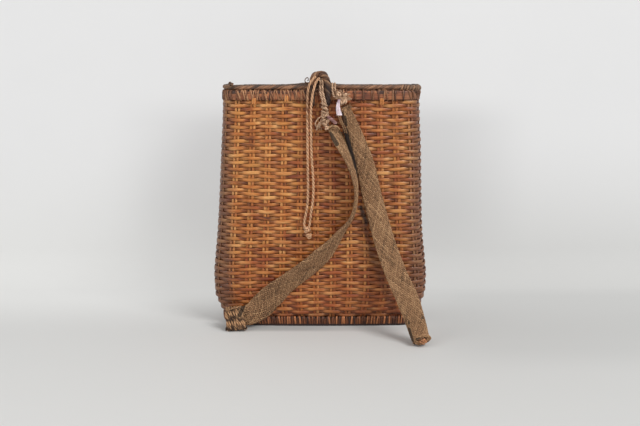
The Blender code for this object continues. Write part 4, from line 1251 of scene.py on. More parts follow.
def paper(name, colours, upright):
    """The pale floor or backdrop, which fades into the distance's light far from the basket.

    Seen directly, its far part shines a little, so that it stays pale in the
    basket's shade. Both are seen from their front only, and the backdrop stops no light.
    """
    material, graph, shader = new_surface(name)
    place = graph.place()
    x, y, z = place.parts()
    distance = place.vector_math("DOT_PRODUCT", place).output("Value").math("SQRT")
    seen = graph.seen()
    speck = graph.noise(place, 9.0, 2.0)
    # Painted light: the floor is lighter toward the left, against the lamps' shade there
    colour = graph.mix(x.between(-0.55, 0.5), colours.floor_left, colours.floor_right)
    shaded = x.between(0.1, 0.3) * y.between(-0.32, -0.2) * (1.0 - y.between(0.06, 0.14))
    colour = graph.mix(shaded * (1.0 - z.between(0.0, 0.05)) * 0.1, colour, (0.2, 0.2, 0.2))
    # Painted shadow on the floor along the basket's front foot, weaker toward the right
    contact_shadow = (1.0 - (y + 0.112).size().between(0.006, 0.024)) * (1.0 - x.size().between(0.11, 0.19))
    contact_shadow = contact_shadow * (1.0 - x.between(-0.06, 0.12) * 0.7) * (1.0 - z.between(0.0, 0.01))
    colour = graph.mix(contact_shadow * 0.34, colour, colours.hollow)
    # Painted light: the backdrop grows lighter upward
    colour = graph.mix(z.between(-0.02, 0.34), colour, colours.distance)
    # Painted shade on the backdrop round the basket's sides, and a little toward its upper right
    shade = (1.0 - x.size().between(0.24, 0.44)) * (1.0 - z.between(0.31, 0.385)) * z.between(0.0, 0.17)
    shade = shade * (x.between(-0.1, 0.1) * 0.04 + 0.11)
    colour = graph.mix(shade + x.between(0.1, 0.6) * z.between(0.1, 0.4) * 0.05, colour, (0.05, 0.05, 0.05))
    colour = graph.mix((speck - 0.5).size() * 0.06, colour, (0.5, 0.5, 0.49))
    shine = y.between(-0.16, 0.08) * 0.65 * seen
    black = (0.0, 0.0, 0.0)
    connect(graph, shader, graph.mix(shine, colour, black), speck * 0.05 + 0.9)
    graph.tree.links.new(graph.mix(shine, black, colour).socket, shader.inputs["Emission Color"])
    shader.inputs["Emission Strength"].default_value = 1.0
    shown = 1.0 - distance.between(1.0, 2.4)
    back = graph.add("ShaderNodeNewGeometry", {}, {}, "Backfacing")
    if upright:
        shown = shown * seen
    shown = shown * (1.0 - back * seen)
    graph.tree.links.new(shown.socket, shader.inputs["Alpha"])
    return material


def settle(piece, body, slot, *nodes):
    """The piece rides on its body, stands for its CAD nodes and takes a slot's finish."""
    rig.ride(piece, body)
    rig.slot(piece, slot)
    if nodes:
        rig.replaces(piece, *nodes)
    return piece


def twisted(path, radius, strand_count, lay_length, material, seed=1, steps_per_turn=14, wander=0.00015):
    """Meshes of strands twisted into one cord along a path."""
    half = radius * (0.58 if strand_count == 2 else 0.46)
    turns = path.length / lay_length
    steps = max(8, int(turns * steps_per_turn))
    if path.closed:
        turns = max(1, round(turns))
    return [lay_over(
        tube_place(path, radius - half), 24, max(24, len(path.points)), material,
        count=strand_count, steps=steps, sides=6, seed=seed, around_shift=1.0 / strand_count,
        around_run=turns, along_run=1.0, closed=1.0 if path.closed else 0.0,
        half_width=half * 1.1 * (1.0 if strand_count == 2 else 1.25), half_thickness=half,
        lift_wander=wander, width_wander=0.15, wander_scale=turns * 2, length=path.length)]


def knotted(centre, ball_radius, tilt, rope_radius, lay_length, material, seed):
    """Meshes of a two-strand cord tied in a ball."""
    path = trefoil(centre, ball_radius, tilt, rope_radius)
    return twisted(path, rope_radius, 2, lay_length, material, seed)


class Maker:
    """What the pieces' operators share: each makes its pieces from the scene's sizes and colours."""

    def execute(self, context):
        self.make(context.scene.basket_sizes, context.scene.basket_colours)
        return {"FINISHED"}


class BASKET_OT_cords(Maker, bpy.types.Operator):
    """Makes the two pale cords that hang from the handle, and their knot"""

    bl_idname = "basket.cords"
    bl_label = "Hanging cords"

    def make(self, sizes, colours):
        pale = fibre("pale_cord", colours.cord_light, colours.cord_light, colours.cord_dark,
                     rough=0.75, fine=2600.0, long=220.0, edge=0.75, vary=0.3)
        radius = sizes.hanging_cord_radius
        cords = []
        for name, route in (("hanging_cord_left", HANGING_LEFT_ROUTE),
                            ("hanging_cord_right", HANGING_RIGHT_ROUTE)):
            path = Path(route, 90)
            meshes = twisted(path, radius, 2, 0.0125, pale, seed=len(cords) + 3)
            cords.append((settle(joined(name + "_strands", meshes), "hanging_cord", "pale_cord", name), path))
        meshes = knotted(HANGING_KNOT_HIGH, 0.0066, (0.2, -0.1), 0.0026, 0.01, pale, 9)
        meshes += knotted(HANGING_KNOT_LOW, 0.0056, (-0.3, 0.2), 0.0022, 0.009, pale, 10)
        tied = settle(joined("hanging_knot_turns", meshes), "hanging_cord", "pale_cord", "hanging_knot")
        for number, (piece, path) in enumerate(cords):
            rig.cord(piece, exit=path.points[0], length=path.length, diameter=radius * 2, far_end="knot",
                    stiffness="limp", lay="hanging", path=path.points,
                    with_pieces=[tied] if number == 0 else [])


def trefoil(centre, ball_radius, tilt, rope_radius):
    """A closed knotted path inside a ball."""
    spread = (ball_radius - rope_radius) / 3.0
    deep = (ball_radius - rope_radius) / 1.25
    leaning = UP.rotation_difference(Vector((tilt[0], tilt[1], 1.0)).normalized())
    points = []
    for index in range(36):
        turn = 2 * math.pi * index / 36
        flat = Vector((math.sin(turn) + 2 * math.sin(2 * turn), math.cos(turn) - 2 * math.cos(2 * turn), 0.0))
        point = Vector((flat.x * spread, -math.sin(3 * turn) * deep, flat.y * spread))
        point.rotate(leaning)
        points.append(Vector(centre) + point)
    return Path(points, 72, closed=True)


def wall_outline():
    return Outline("woven_wall", [0.0045 + 0.386 * index / 40 for index in range(41)], WALL_THICKNESS)


def share_at_x(outline, x, level):
    """Where on the front of the outline a point has this x."""
    low, high = 0.3, 0.7
    for _ in range(30):
        middle = (low + high) / 2
        if outline.at(middle, level)[0].x < x:
            low = middle
        else:
            high = middle
    return low


def eased(value, low, high):
    """A smooth step from 0 at low to 1 at high."""
    share = min(1.0, max(0.0, (value - low) / (high - low)))
    return share * share * (3.0 - 2.0 * share)


def wall_skin(outline):
    """The wall's skin: rows that sway together, and sides that swell out to the rim."""
    def place(around, along):
        level = STAKE_LOW + (STAKE_HIGH - STAKE_LOW) * along
        inner = eased(along, 0.0, 0.06) * eased(1.0 - along, 0.0, 0.06)
        sway = math.sin(around * 76 + along * 9) * math.sin(along * 19 + around * 26) * 0.0011 * inner
        point, out = outline.at(around, level)
        foot = eased(level, 0.012, 0.03)
        left = 0.0004 + 0.0032 * foot - 0.002 * eased(level, 0.07, 0.14)
        right = 0.0004 + 0.0036 * foot * (1.0 - eased(level, 0.06, 0.16)) + 0.005 * eased(level, 0.1, 0.34)
        swell = eased(-out.x, 0.2, 0.9) * left + eased(out.x, 0.2, 0.9) * right
        return point + out * swell + UP * sway, out
    return make_skin(place, 240, 60)


def wall_share(level):
    return (level - STAKE_LOW) / (STAKE_HIGH - STAKE_LOW)


def ring_length(outline, level):
    points = [outline.at(index / 200, level)[0] for index in range(201)]
    return path_length(points)


class BASKET_OT_wall(Maker, bpy.types.Operator):
    """Weaves the wall: rows of splint over and under upright stakes"""

    bl_idname = "basket.wall"
    bl_label = "Woven wall"

    def make(self, sizes, colours):
        splint = fibre("splint", *tones(colours, "splint"),
                       rough=0.32, edge=1.3, vary=0.45, tint=basket_tint(colours), blotchy=2.2)
        upright = fibre("stake", *tones(colours, "splint"),
                        rough=0.4, edge=1.3, vary=0.6, tint=basket_tint(colours), blotchy=2.0)
        outline = wall_outline()
        skin = wall_skin(outline)
        first_stake = share_at_x(outline, FRONT_STAKE_X, 0.2)
        around = ring_length(outline, 0.2)
        pitch = (WALL_HIGH - WALL_LOW) / sizes.row_count
        made = 0
        for part in range(3):
            rows = sizes.row_count // 3 if part < 2 else sizes.row_count - made
            mesh = lay(
                skin, splint, count=rows, steps=sizes.stake_count * 7 + 1, sides=8, seed=31 + part,
                closed=1.0, around=first_stake, around_run=1.0,
                along=wall_share(WALL_LOW + pitch * (made + 0.5)),
                along_shift=pitch / (STAKE_HIGH - STAKE_LOW), phase=made % 2, phase_shift=1.0,
                phase_run=sizes.stake_count, lift=WALL_MIDDLE, wave=sizes.splint_wave,
                half_width=sizes.splint_half_width, half_thickness=sizes.splint_half_thickness, pinch=0.02,
                wave_shape=0.55, squareness=0.65, side_wander=0.0004, lift_wander=0.0005, width_wander=0.1,
                wander_scale=60.0, length=around)
            piece = joined(f"wall_rows_{part + 1}", [mesh])
            settle(piece, "basket", "wicker", *(["woven_wall"] if part == 0 else []))
            made += rows
        meshes = []
        for side in (-0.5, 0.5):
            meshes.append(lay(
                skin, upright, count=sizes.stake_count, steps=60, sides=6, seed=57 if side < 0 else 58,
                around=first_stake + side * sizes.stake_gap / around, around_shift=1.0 / sizes.stake_count,
                along=0.0, along_run=1.0, lift=WALL_MIDDLE, half_width=sizes.stake_half_width,
                half_thickness=0.0006, squareness=0.6, side_wander=0.001, lift_wander=0.0003,
                width_wander=0.3, wander_scale=9.0, length=0.386))
        # Every second stake's ends stand over the rim's hoop on the front
        for side in (-0.32, 0.32):
            meshes.append(lay(
                skin, upright, count=5, steps=12, sides=6, seed=60,
                around=first_stake - 4.0 / sizes.stake_count + (side * sizes.stake_gap + 0.002) / around,
                around_shift=2.0 / sizes.stake_count, along=wall_share(0.371), along_run=0.026,
                along_jitter=0.006,
                lift=0.0031, half_width=0.0019, half_thickness=0.0007, squareness=0.6, side_wander=0.0006,
                width_wander=0.3, around_jitter=0.002, length=0.007))
        settle(joined("wall_stakes", meshes), "basket", "wicker")
        drop(skin)


class BASKET_OT_base(Maker, bpy.types.Operator):
    """Weaves the flat base from splints laid both ways"""

    bl_idname = "basket.base"
    bl_label = "Woven base"

    def make(self, sizes, colours):
        splint = fibre("base_splint", *tones(colours, "splint"), rough=0.5, edge=0.4, vary=0.6)
        low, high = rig.box("woven_base")
        half_width = high.x - 0.0012
        half_depth = high.y - 0.0012
        corner = 0.026
        level = (low.z + high.z) / 2

        def reach(far, limit, other):
            over = abs(far) - (limit - corner)
            return other if over <= 0 else other - (corner - math.sqrt(max(0.0, corner ** 2 - over ** 2)))

        def wide(around, along):
            y = (around * 2 - 1) * half_depth
            x = (along * 2 - 1) * reach(min(abs(y), half_depth), half_depth, half_width)
            return Vector((x, y, level)), -UP

        def deep(around, along):
            x = (around * 2 - 1) * half_width
            y = (along * 2 - 1) * reach(min(abs(x), half_width), half_width, half_depth)
            return Vector((x, y, level)), -UP

        across_count, along_count = 21, 35
        meshes = []
        for place, skin_size, number, crossings, seed, phase, run in (
                (wide, (60, 90), across_count, along_count, 71, 0.5, half_width * 2),
                (deep, (90, 60), along_count, across_count, 72, 1.5, half_depth * 2)):
            meshes.append(lay_over(
                place, *skin_size, splint, count=number, steps=crossings * 4, sides=4, seed=seed,
                around=0.5 / number, around_shift=1 / number, along_run=1.0, phase=phase, phase_shift=1.0,
                phase_run=crossings, wave=0.0011, half_width=0.0038, half_thickness=0.0008,
                squareness=0.6, side_wander=0.0006, width_wander=0.1, wander_scale=10.0, length=run))
        settle(joined("base_splints", meshes), "basket", "base_wicker", "woven_base")


def rim_spread(out, level):
    """How far the rim stands out at its two ends: most at the right, near its top, and less at the left."""
    right = eased(out.x, 0.2, 0.9) * (0.0016 + 0.0022 * eased(level, 0.378, 0.39))
    return right - eased(-out.x, 0.2, 0.9) * 0.0012


def section_place(outline, section, spread=None):
    """Places over a band whose cross-section is a run of offsets and heights."""
    path = even_path([(offset, 0.0, level) for offset, level in section], 40)

    def place(around, along):
        wanted = min(max(along, 0.0), 1.0) * 40
        step = min(int(wanted), 39)
        low, high = path[step], path[step + 1]
        spot = blend_points(low, high, wanted - step)
        run = (path[min(step + 2, 40)] - path[max(step - 1, 0)]).normalized()
        if along < 0.0 or along > 1.0:
            spot = spot + run * ((along if along < 0.0 else along - 1.0) * 0.04)
        point, out = outline.at(around, spot.z)
        point.z = spot.z
        if spread is not None:
            point = point + out * spread(out, spot.z) * eased(spot.x, -0.006, 0.0)
        # The section runs up the outside, over the top and down the inside
        return point + out * spot.x, (out * run.z - UP * run.x).normalized()
    return place


def border_tint(colours):
    """Painted shade darkens the border's inner side; it is also darker on top, and its right end is grey."""
    def tint(graph, colour, crest, along, strand):
        turn = graph.attribute("lie").parts()[0] * (2 * math.pi)
        inward_shade = turn.math("SINE").between(-0.25, 0.35)
        above = turn.math("COSINE").between(0.75, 1.0) * 0.35
        ends = graph.place().parts()[0].size().between(0.12, 0.15) * 0.45
        colour = graph.mix(ends, colour, colours.border_grey)
        return graph.mix(inward_shade.math("MAXIMUM", above) * 0.8, colour, colours.border_dark)
    return tint


def rim_tint(colours):
    """The rim's stitches are darker toward the right."""
    def tint(graph, colour, crest, along, strand):
        return graph.mix(graph.place().parts()[0].between(0.0, 0.14) * 0.28, colour, colours.rim_dark)
    return tint


def rim_hoop_tint(colours):
    """The rim's hoop has holes under the border painted dark as their shade, and is greyer at its two ends."""
    def tint(graph, colour, crest, along, strand):
        x, _, z = graph.place().parts()
        blot = graph.noise(graph.place(), 130.0, 2.0)
        ragged = z + (blot - 0.5) * 0.006
        # Painted shade of holes under the border
        hole = ragged.between(0.3852, 0.3872) * blot.between(0.4, 0.56)
        colour = graph.mix(x.size().between(0.125, 0.155) * 0.45, colour, colours.border_grey)
        colour = graph.mix(x.between(0.0, 0.14) * 0.22, colour, colours.rim_dark)
        low = (1.0 - ragged.between(0.3762, 0.378)) * 0.5
        return graph.mix(hole.math("MAXIMUM", low) * 0.92, colour, colours.handle_dark)
    return tint


class BASKET_OT_rim(Maker, bpy.types.Operator):
    """Sews the rim: cane stitches over both hoops, and the twisted border"""

    bl_idname = "basket.rim"
    bl_label = "Rim"

    def make(self, sizes, colours):
        cane = fibre("rim_cane", *tones(colours, "rim"),
                     rough=0.45, edge=1.0, vary=0.9, tint=rim_tint(colours))
        twist = fibre("border_cane", *tones(colours, "border"),
                      rough=0.5, edge=0.8, vary=0.6, tint=border_tint(colours), blotchy=2.0)
        splint = fibre("rim_hoop_cane", *tones(colours, "hoop"),
                       rough=0.42, fine=900.0, long=16.0, edge=0.2, blotchy=2.4, tint=rim_hoop_tint(colours))
        hoop = hoop_cane("hoop_cane", colours.rim_middle, colours.rim_dark, (0.3868, 0.3888))
        outline = wall_outline()
        around = ring_length(outline, 0.384)
        skin = make_skin(section_place(outline, RIM_SECTION, rim_spread), 300, 28)
        # Close slanted stitches all round, and fewer on the front's right half
        first, last = share_at_x(outline, 0.004, 0.384), share_at_x(outline, 0.146, 0.384)
        sets = ((last, first + 1.0, sizes.rim_stitch_pitch * 0.72, -0.014, 0.00125),
                (last, first + 1.0, sizes.rim_stitch_pitch, 0.005, 0.0009),
                (first, last, sizes.rim_stitch_pitch * 1.5, -0.004, 0.0012),
                (first + 0.0025, last, sizes.rim_stitch_pitch * 1.9, 0.003, 0.0009))
        stitches = []
        for start, end, pitch, slant, half_width in sets:
            number = round((end - start) * around / pitch)
            stitches.append(lay(
                skin, cane, count=number, steps=16, sides=6, seed=81 + len(stitches),
                around=start, around_shift=(end - start) / number, around_run=slant, along_run=1.0,
                half_width=half_width, half_thickness=0.0005, lift=0.0002 * len(stitches), squareness=0.8,
                side_wander=0.0018, width_wander=0.5, wander_scale=1.5, around_jitter=0.0016, run_jitter=0.6,
                length=0.04))
        drop(skin)
        settle(joined("rim_stitches", stitches), "basket", "cane_lashing", "rim_lashing")

        def hoop_place(share, along):
            level = RIM_HOOP_LOW + (RIM_HOOP_HIGH - RIM_HOOP_LOW) * along
            point, out = outline.at(share, level)
            return point + out * (RIM_HOOP_MIDDLE + rim_spread(out, level)), out

        mesh = lay_over(hoop_place, 300, 8, splint, count=1, steps=480, sides=12, seed=79, closed=1.0,
                        around_run=1.0, along=0.5, half_width=(RIM_HOOP_HIGH - RIM_HOOP_LOW) / 2,
                        half_thickness=0.0011, squareness=0.5, length=around)
        settle(joined("rim_hoop", [mesh]), "basket", "split_cane", "rim_outer_hoop")
        border_outline = Outline("rim_border", [BORDER_LEVEL], BORDER_RADIUS * 2)
        ring = []
        for index in range(180):
            point, out = border_outline.at(index / 180, BORDER_LEVEL)
            hump = math.exp(-((point.x + 0.008) / 0.03) ** 2) * 0.0016
            ripple = math.sin(index * 0.35) * 0.0003 + math.sin(index * 0.13 + 1.0) * 0.0004
            spread = eased(out.x, 0.2, 0.95) * 0.006 + eased(-out.x, 0.2, 0.95) * 0.001
            sunk = eased(point.y, 0.02, 0.06) * (1.0 - math.exp(-(point.x / 0.035) ** 2)) * 0.0028
            ring.append(point + out * (spread - BORDER_RADIUS) + UP * (hump + ripple - sunk))
        path = Path(ring, 720, closed=True, outward=UP)
        meshes = twisted(path, BORDER_RADIUS, sizes.border_strand_count, 0.034, twist, 83,
                         steps_per_turn=16, wander=0.001)
        # The border is wrapped round at the front's right corner, and has a small knot at its left one
        corner = [point - UP * 0.0006 for point in ring if point.x > 0.124 and point.y < -0.03]
        path = Path(corner, 100, outward=UP)
        meshes.append(lay_over(
            tube_place(path, BORDER_RADIUS + 0.0003), 24, 100, twist, count=2, steps=190, sides=6, seed=84,
            around_shift=0.5, around_run=path.length / 0.0092, along_run=1.0, half_width=0.0019,
            half_thickness=0.0011, lift_wander=0.0008, width_wander=0.3, wander_scale=20.0, length=0.4))
        meshes += knotted(BORDER_KNOT, 0.0048, (0.2, 0.3), 0.0016, 0.008, twist, 85)
        settle(joined("border_strands", meshes), "basket", "twisted_border", "rim_border")
        finish_node("rim_inner_hoop", hoop)


def finish_node(node, material):
    """Gives a CAD node that stays a better material."""
    shown = frame["nodes"][node]
    if not shown.material_slots:
        shown.data.materials.append(material)
    for slot in shown.material_slots:
        slot.material = material


class BASKET_OT_foot(Maker, bpy.types.Operator):
    """Sews the foot: upright turns of cane over its hoop"""

    bl_idname = "basket.foot"
    bl_label = "Foot"

    def make(self, sizes, colours):
        cane = fibre("foot_cane", *tones(colours, "foot"), rough=0.42, edge=1.0, vary=1.0)
        hoop = hoop_cane("foot_hoop_cane", colours.foot_middle, colours.foot_dark, (0.0118, 0.015))
        edge_hoop = hoop_cane("foot_edge_cane", colours.foot_dark, (0.008, 0.006, 0.005))
        skin = make_skin(section_place(wall_outline(), FOOT_SECTION), 300, 20)
        stitches = []
        for slant, shift, half_width in ((-0.0016, 0.0, 0.00165), (0.0006, 0.42, 0.0014)):
            stitches.append(lay(
                skin, cane, count=sizes.foot_stitch_count, steps=14, sides=6, seed=91 + len(stitches),
                around=shift / sizes.foot_stitch_count, around_shift=1.0 / sizes.foot_stitch_count,
                around_run=slant, along_run=1.0, half_width=half_width, half_thickness=0.0005,
                lift=0.0002 * len(stitches), squareness=0.8, side_wander=0.0012, width_wander=0.4,
                wander_scale=1.5, around_jitter=0.0009, run_jitter=0.9, length=0.016))
        drop(skin)
        settle(joined("foot_stitches", stitches), "basket", "cane_lashing", "foot_lashing")
        for node in ("foot_outer_hoop", "foot_inner_hoop"):
            finish_node(node, hoop)
        finish_node("foot_edge_hoop", edge_hoop)


def handle_tint(colours):
    """The handle is darkest where its legs come out of the wall, and at its right."""
    def tint(graph, colour, crest, along, strand):
        x, _, z = graph.place().parts()
        legs = (1.0 - z.between(0.378, 0.41)) * 0.75 + x.between(0.002, 0.012) * 0.25
        return graph.mix(legs, colour, colours.handle_dark)
    return tint


class BASKET_OT_handle(Maker, bpy.types.Operator):
    """Lays up the dark rope handle and the thin curl beside it"""

    bl_idname = "basket.handle"
    bl_label = "Handle"

    def make(self, sizes, colours):
        dark = fibre("handle_rope", *tones(colours, "handle"),
                     rough=0.55, edge=1.3, vary=1.0, tint=handle_tint(colours))
        # A dark core under the strands paints the shade in their gaps
        core = fibre("handle_core", colours.handle_dark, colours.handle_dark, colours.handle_dark, rough=0.8)
        path = Path(HANDLE_ROUTE, 90)

        def radius(share):
            hump = min(1.0, max(0.0, (0.5 - abs(share - 0.53)) / 0.18 - 0.6))
            return 0.00375 + 0.0015 * hump - 0.0014

        skin = make_skin(tube_place(path, radius), 24, 90)
        meshes = [
            lay(skin, dark, count=5, steps=130, sides=8, seed=101, around_shift=1 / 5, around_run=4.2,
                along_run=1.0, half_width=0.0018, half_thickness=0.0016, lift_wander=0.0012,
                side_wander=0.001, width_wander=0.5, wander_scale=22.0, length=path.length),
            lay(skin, dark, count=3, steps=110, sides=6, seed=104, around=0.1, around_shift=1 / 3,
                around_run=2.6, along_run=1.0, lift=0.0014, half_width=0.0009, half_thickness=0.0008,
                lift_wander=0.0014, side_wander=0.0016, width_wander=0.5, wander_scale=16.0,
                length=path.length),
            closed_tube(tube_place(path, lambda share: radius(share) - 0.0004), 10, 60, core)]
        drop(skin)
        # Loose strands that fill the arch behind the cords
        loose = ((0.4118, -0.001), (0.4085, 0.0), (0.405, 0.0012), (0.4015, 0.0))
        for number, (level, sag) in enumerate(loose):
            points = [(-0.0105, -0.1022, level), (-0.0055, -0.1016, level + sag),
                      (0.0, -0.102, level - sag), (0.005, -0.1016, level + sag),
    (0.0096, -0.1022, level)]
            meshes += twisted(Path(points, 30), 0.0021, 2, 0.01, dark, seed=105 + number)
        settle(joined("handle_strands", meshes), "basket", "handle_rope", "handle_loop")
        curl = Path(CURL_ROUTE, 40)
        mesh = lay_over(tube_place(curl, 0.0004), 12, 40, dark, count=1, steps=44, sides=6, seed=103,
                        along_run=1.0, half_width=0.0011, half_thickness=0.0008, taper=0.3,
                        length=curl.length)
        settle(joined("handle_curl_strand", [mesh]), "basket", "handle_rope", "handle_curl")


def fray(root, way, length, count, spread, material, seed, radius=0.00035, droop=0.4):
    """Meshes of loose fibres that fan out from a point."""
    rolls = random.Random(seed)
    meshes = []
    for _ in range(count):
        point = Vector(root)
        heading = Vector(way).normalized()
        heading += Vector([rolls.uniform(-spread, spread) for _ in range(3)])
        points = [point.copy()]
        own_length = length * rolls.uniform(0.6, 1.0)
        for _ in range(5):
            heading = (heading + Vector((0.0, 0.0, -droop * 0.3))
                       + Vector([rolls.uniform(-0.25, 0.25) for _ in range(3)])).normalized()
            point = point + heading * own_length / 5
            points.append(point.copy())
        path = Path(points, 12)
        meshes.append(closed_tube(tube_place(path, radius), 5, 12, material))
    return meshes


class BASKET_OT_ties(Maker, bpy.types.Operator):
    """Makes the tie cords, their knots and the strip of pale cloth"""

    bl_idname = "basket.ties"
    bl_label = "Ties"

    def make(self, sizes, colours):
        pale = fibre("tie_cord", colours.tie_light, colours.tie_light, colours.tie_dark,
                     rough=0.75, fine=2600.0, long=220.0, edge=0.85, vary=0.6)
        rosy = fibre("rosy_cord", colours.rosy_light, colours.rosy_light, colours.rosy_dark,
                     rough=0.8, fine=2600.0, long=220.0, edge=1.1, vary=0.6)
        radius = sizes.tie_cord_radius
        jobs = (("left_tie_cord_left", LEFT_TIE_ROUTES[0], "left_strap"),
                ("left_tie_cord_right", LEFT_TIE_ROUTES[1], "left_strap"),
                ("right_tie_cord_left", RIGHT_TIE_ROUTES[0], "right_tie"),
                ("right_tie_cord_right", RIGHT_TIE_ROUTES[1], "right_tie"))
        for number, (node, route, body) in enumerate(jobs):
            meshes = twisted(Path(route, 70), radius, 2, 0.0095, pale, seed=110 + number)
            settle(joined(node + "_strands", meshes), body, "pale_cord", node)
        left = twisted(trefoil(LEFT_TIE_KNOT, 0.0088, (-0.3, 0.2), 0.0029), 0.0031, 2, 0.01, pale, 121)
        left += knotted((0.007, -0.1105, 0.3535), 0.0068, (0.5, 0.3), 0.0024, 0.009, pale, 123)
        left += knotted((0.0108, -0.1125, 0.333), 0.0042, (0.4, -0.4), 0.0017, 0.008, pale, 124)
        for number, route in enumerate((LEFT_KNOT_WRAP, LEFT_KNOT_CURL)):
            left += twisted(Path(route, 80), 0.0016 - 0.0005 * number, 2, 0.008, pale, 125 + number)
        left += twisted(Path(LEFT_KNOT_TAG, 20), 0.0029, 3, 0.01, rosy, 127)
        left += fray((0.002, -0.1105, 0.343), (-0.5, -0.2, -0.8), 0.017, 6, 0.3, pale, 5)
        settle(joined("left_tie_knot_turns", left), "left_strap", "pale_cord", "left_tie_knot")
        right = knotted(RIGHT_TIE_KNOT, 0.0085, (0.3, -0.3), 0.0033, 0.011, pale, 122)
        right += knotted((0.03, -0.1085, 0.385), 0.006, (0.4, 0.4), 0.0022, 0.009, pale, 128)
        right += knotted((0.0385, -0.1095, 0.3838), 0.0056, (-0.4, 0.4), 0.0021, 0.009, pale, 129)
        right += fray((0.0405, -0.11, 0.3775), (0.9, 0.0, 0.2), 0.011, 9, 0.3, pale, 6, 0.0006, 0.1)
        right += fray((0.04, -0.111, 0.384), (0.8, -0.3, 0.5), 0.009, 6, 0.5, pale, 8, 0.0005)
        right += fray((0.034, -0.109, 0.387), (0.2, -0.3, 0.9), 0.008, 5, 0.5, pale, 9, 0.0005)
        knot = settle(joined("right_tie_knot_turns", right), "right_tie", "pale_cord", "right_tie_knot")
        self.cloth(colours, knot)

    def cloth(self, colours, knot):
        """A strip of cloth gathered into folds on the front of the right knot."""
        low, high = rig.box("cloth_tie")
        centre = (low + high) / 2
        rows, columns = 40, 24

        def spot(u, v):
            fold = math.sin(u * 5 * math.pi + 0.6 * math.sin(v * 5)) * 0.0009
            ripple = math.sin(v * 3.3 * math.pi) * 0.0008
            waist = 1.0 - 0.5 * eased(v, 0.0, 1.0)
            lean = 0.002 - 0.0026 * math.sin(2.8 * v)
            x = centre.x + (u - 0.5) * (high.x - low.x) * waist + lean
            z = low.z - 0.0042 * (1.0 - v) + (high.z - 0.0012 - low.z) * v
            return (x, centre.y + fold + ripple, z), (u * CLOTH_WIDTH, v * CLOTH_LENGTH, 0.0)

        grid = [[spot(column / columns, row / rows) for column in range(columns + 1)]
                for row in range(rows + 1)]
        cloth = woven_cloth("pale_cloth", colours.cloth_light, colours.cloth_dark)
        strip = new_object("pale_cloth_strip", mesh_of_rows("pale_cloth_strip", grid, cloth))
        settle(strip, "right_tie", "pale_cloth", "cloth_tie")
        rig.sheet(strip, flat=(CLOTH_WIDTH, CLOTH_LENGTH), held="gathered", rests_on=[knot])


def strap_tint(colours, hollows):
    """Painted shade in hollows and gaps, with a pale lip, each a line in the front view, and a pale left edge."""
    def tint(graph, colour, crest, along, strand):
        edge = 1.0 - (graph.attribute("lie").parts()[0] - 0.5).size().between(0.01, 0.03)
        colour = graph.mix(edge * 0.45, colour, colours.strap_light)
        for start, end, half_width in hollows:
            lip = patch(graph, start, end, half_width * 1.5)
            colour = graph.mix(lip * 0.45, colour, colours.strap_light)
            colour = graph.mix(patch(graph, start, end, half_width) * 0.85, colour, colours.hollow)
        return colour
    return tint


def plait(sleeve, material, strand_count, seed):
    """Strands that spiral both ways over a strap's skin, over and under one another."""
    skin = make_skin(sleeve.place, 64, sleeve.stations)
    crossings = PLAIT_TURNS * strand_count * 2
    meshes = []
    for number, side in enumerate((1.0, -1.0)):
        meshes.append(lay(
            skin, material, count=strand_count, steps=int(crossings * 3), sides=4, seed=seed + number,
            around_shift=1.0 / strand_count, around_run=PLAIT_TURNS * side, along_run=1.0,
            phase=number, phase_shift=1.0, phase_run=crossings, wave=0.00045, lift=-0.0007,
            half_width=0.0013, half_thickness=0.00055, squareness=0.8, width_wander=0.3,
            side_wander=0.0004, wander_scale=40.0, length=sleeve.path.length))
    drop(skin)
    return meshes


def strap_fibres(colours, side, hollows):
    """A strap's yarn, and the dark yarn of its inside, which paints the shade inside the strap."""
    yarn = fibre("strap_yarn_" + side, *tones(colours, "strap"),
                 rough=0.8, fine=2200.0, long=420.0, edge=0.9, vary=0.18, blotchy=1.8, fleck=0.5,
                 tint=strap_tint(colours, hollows))
    dark = colours.strap_dark
    inner = fibre("strap_inside_" + side, dark, dark, dark, rough=0.9)
    return yarn, inner


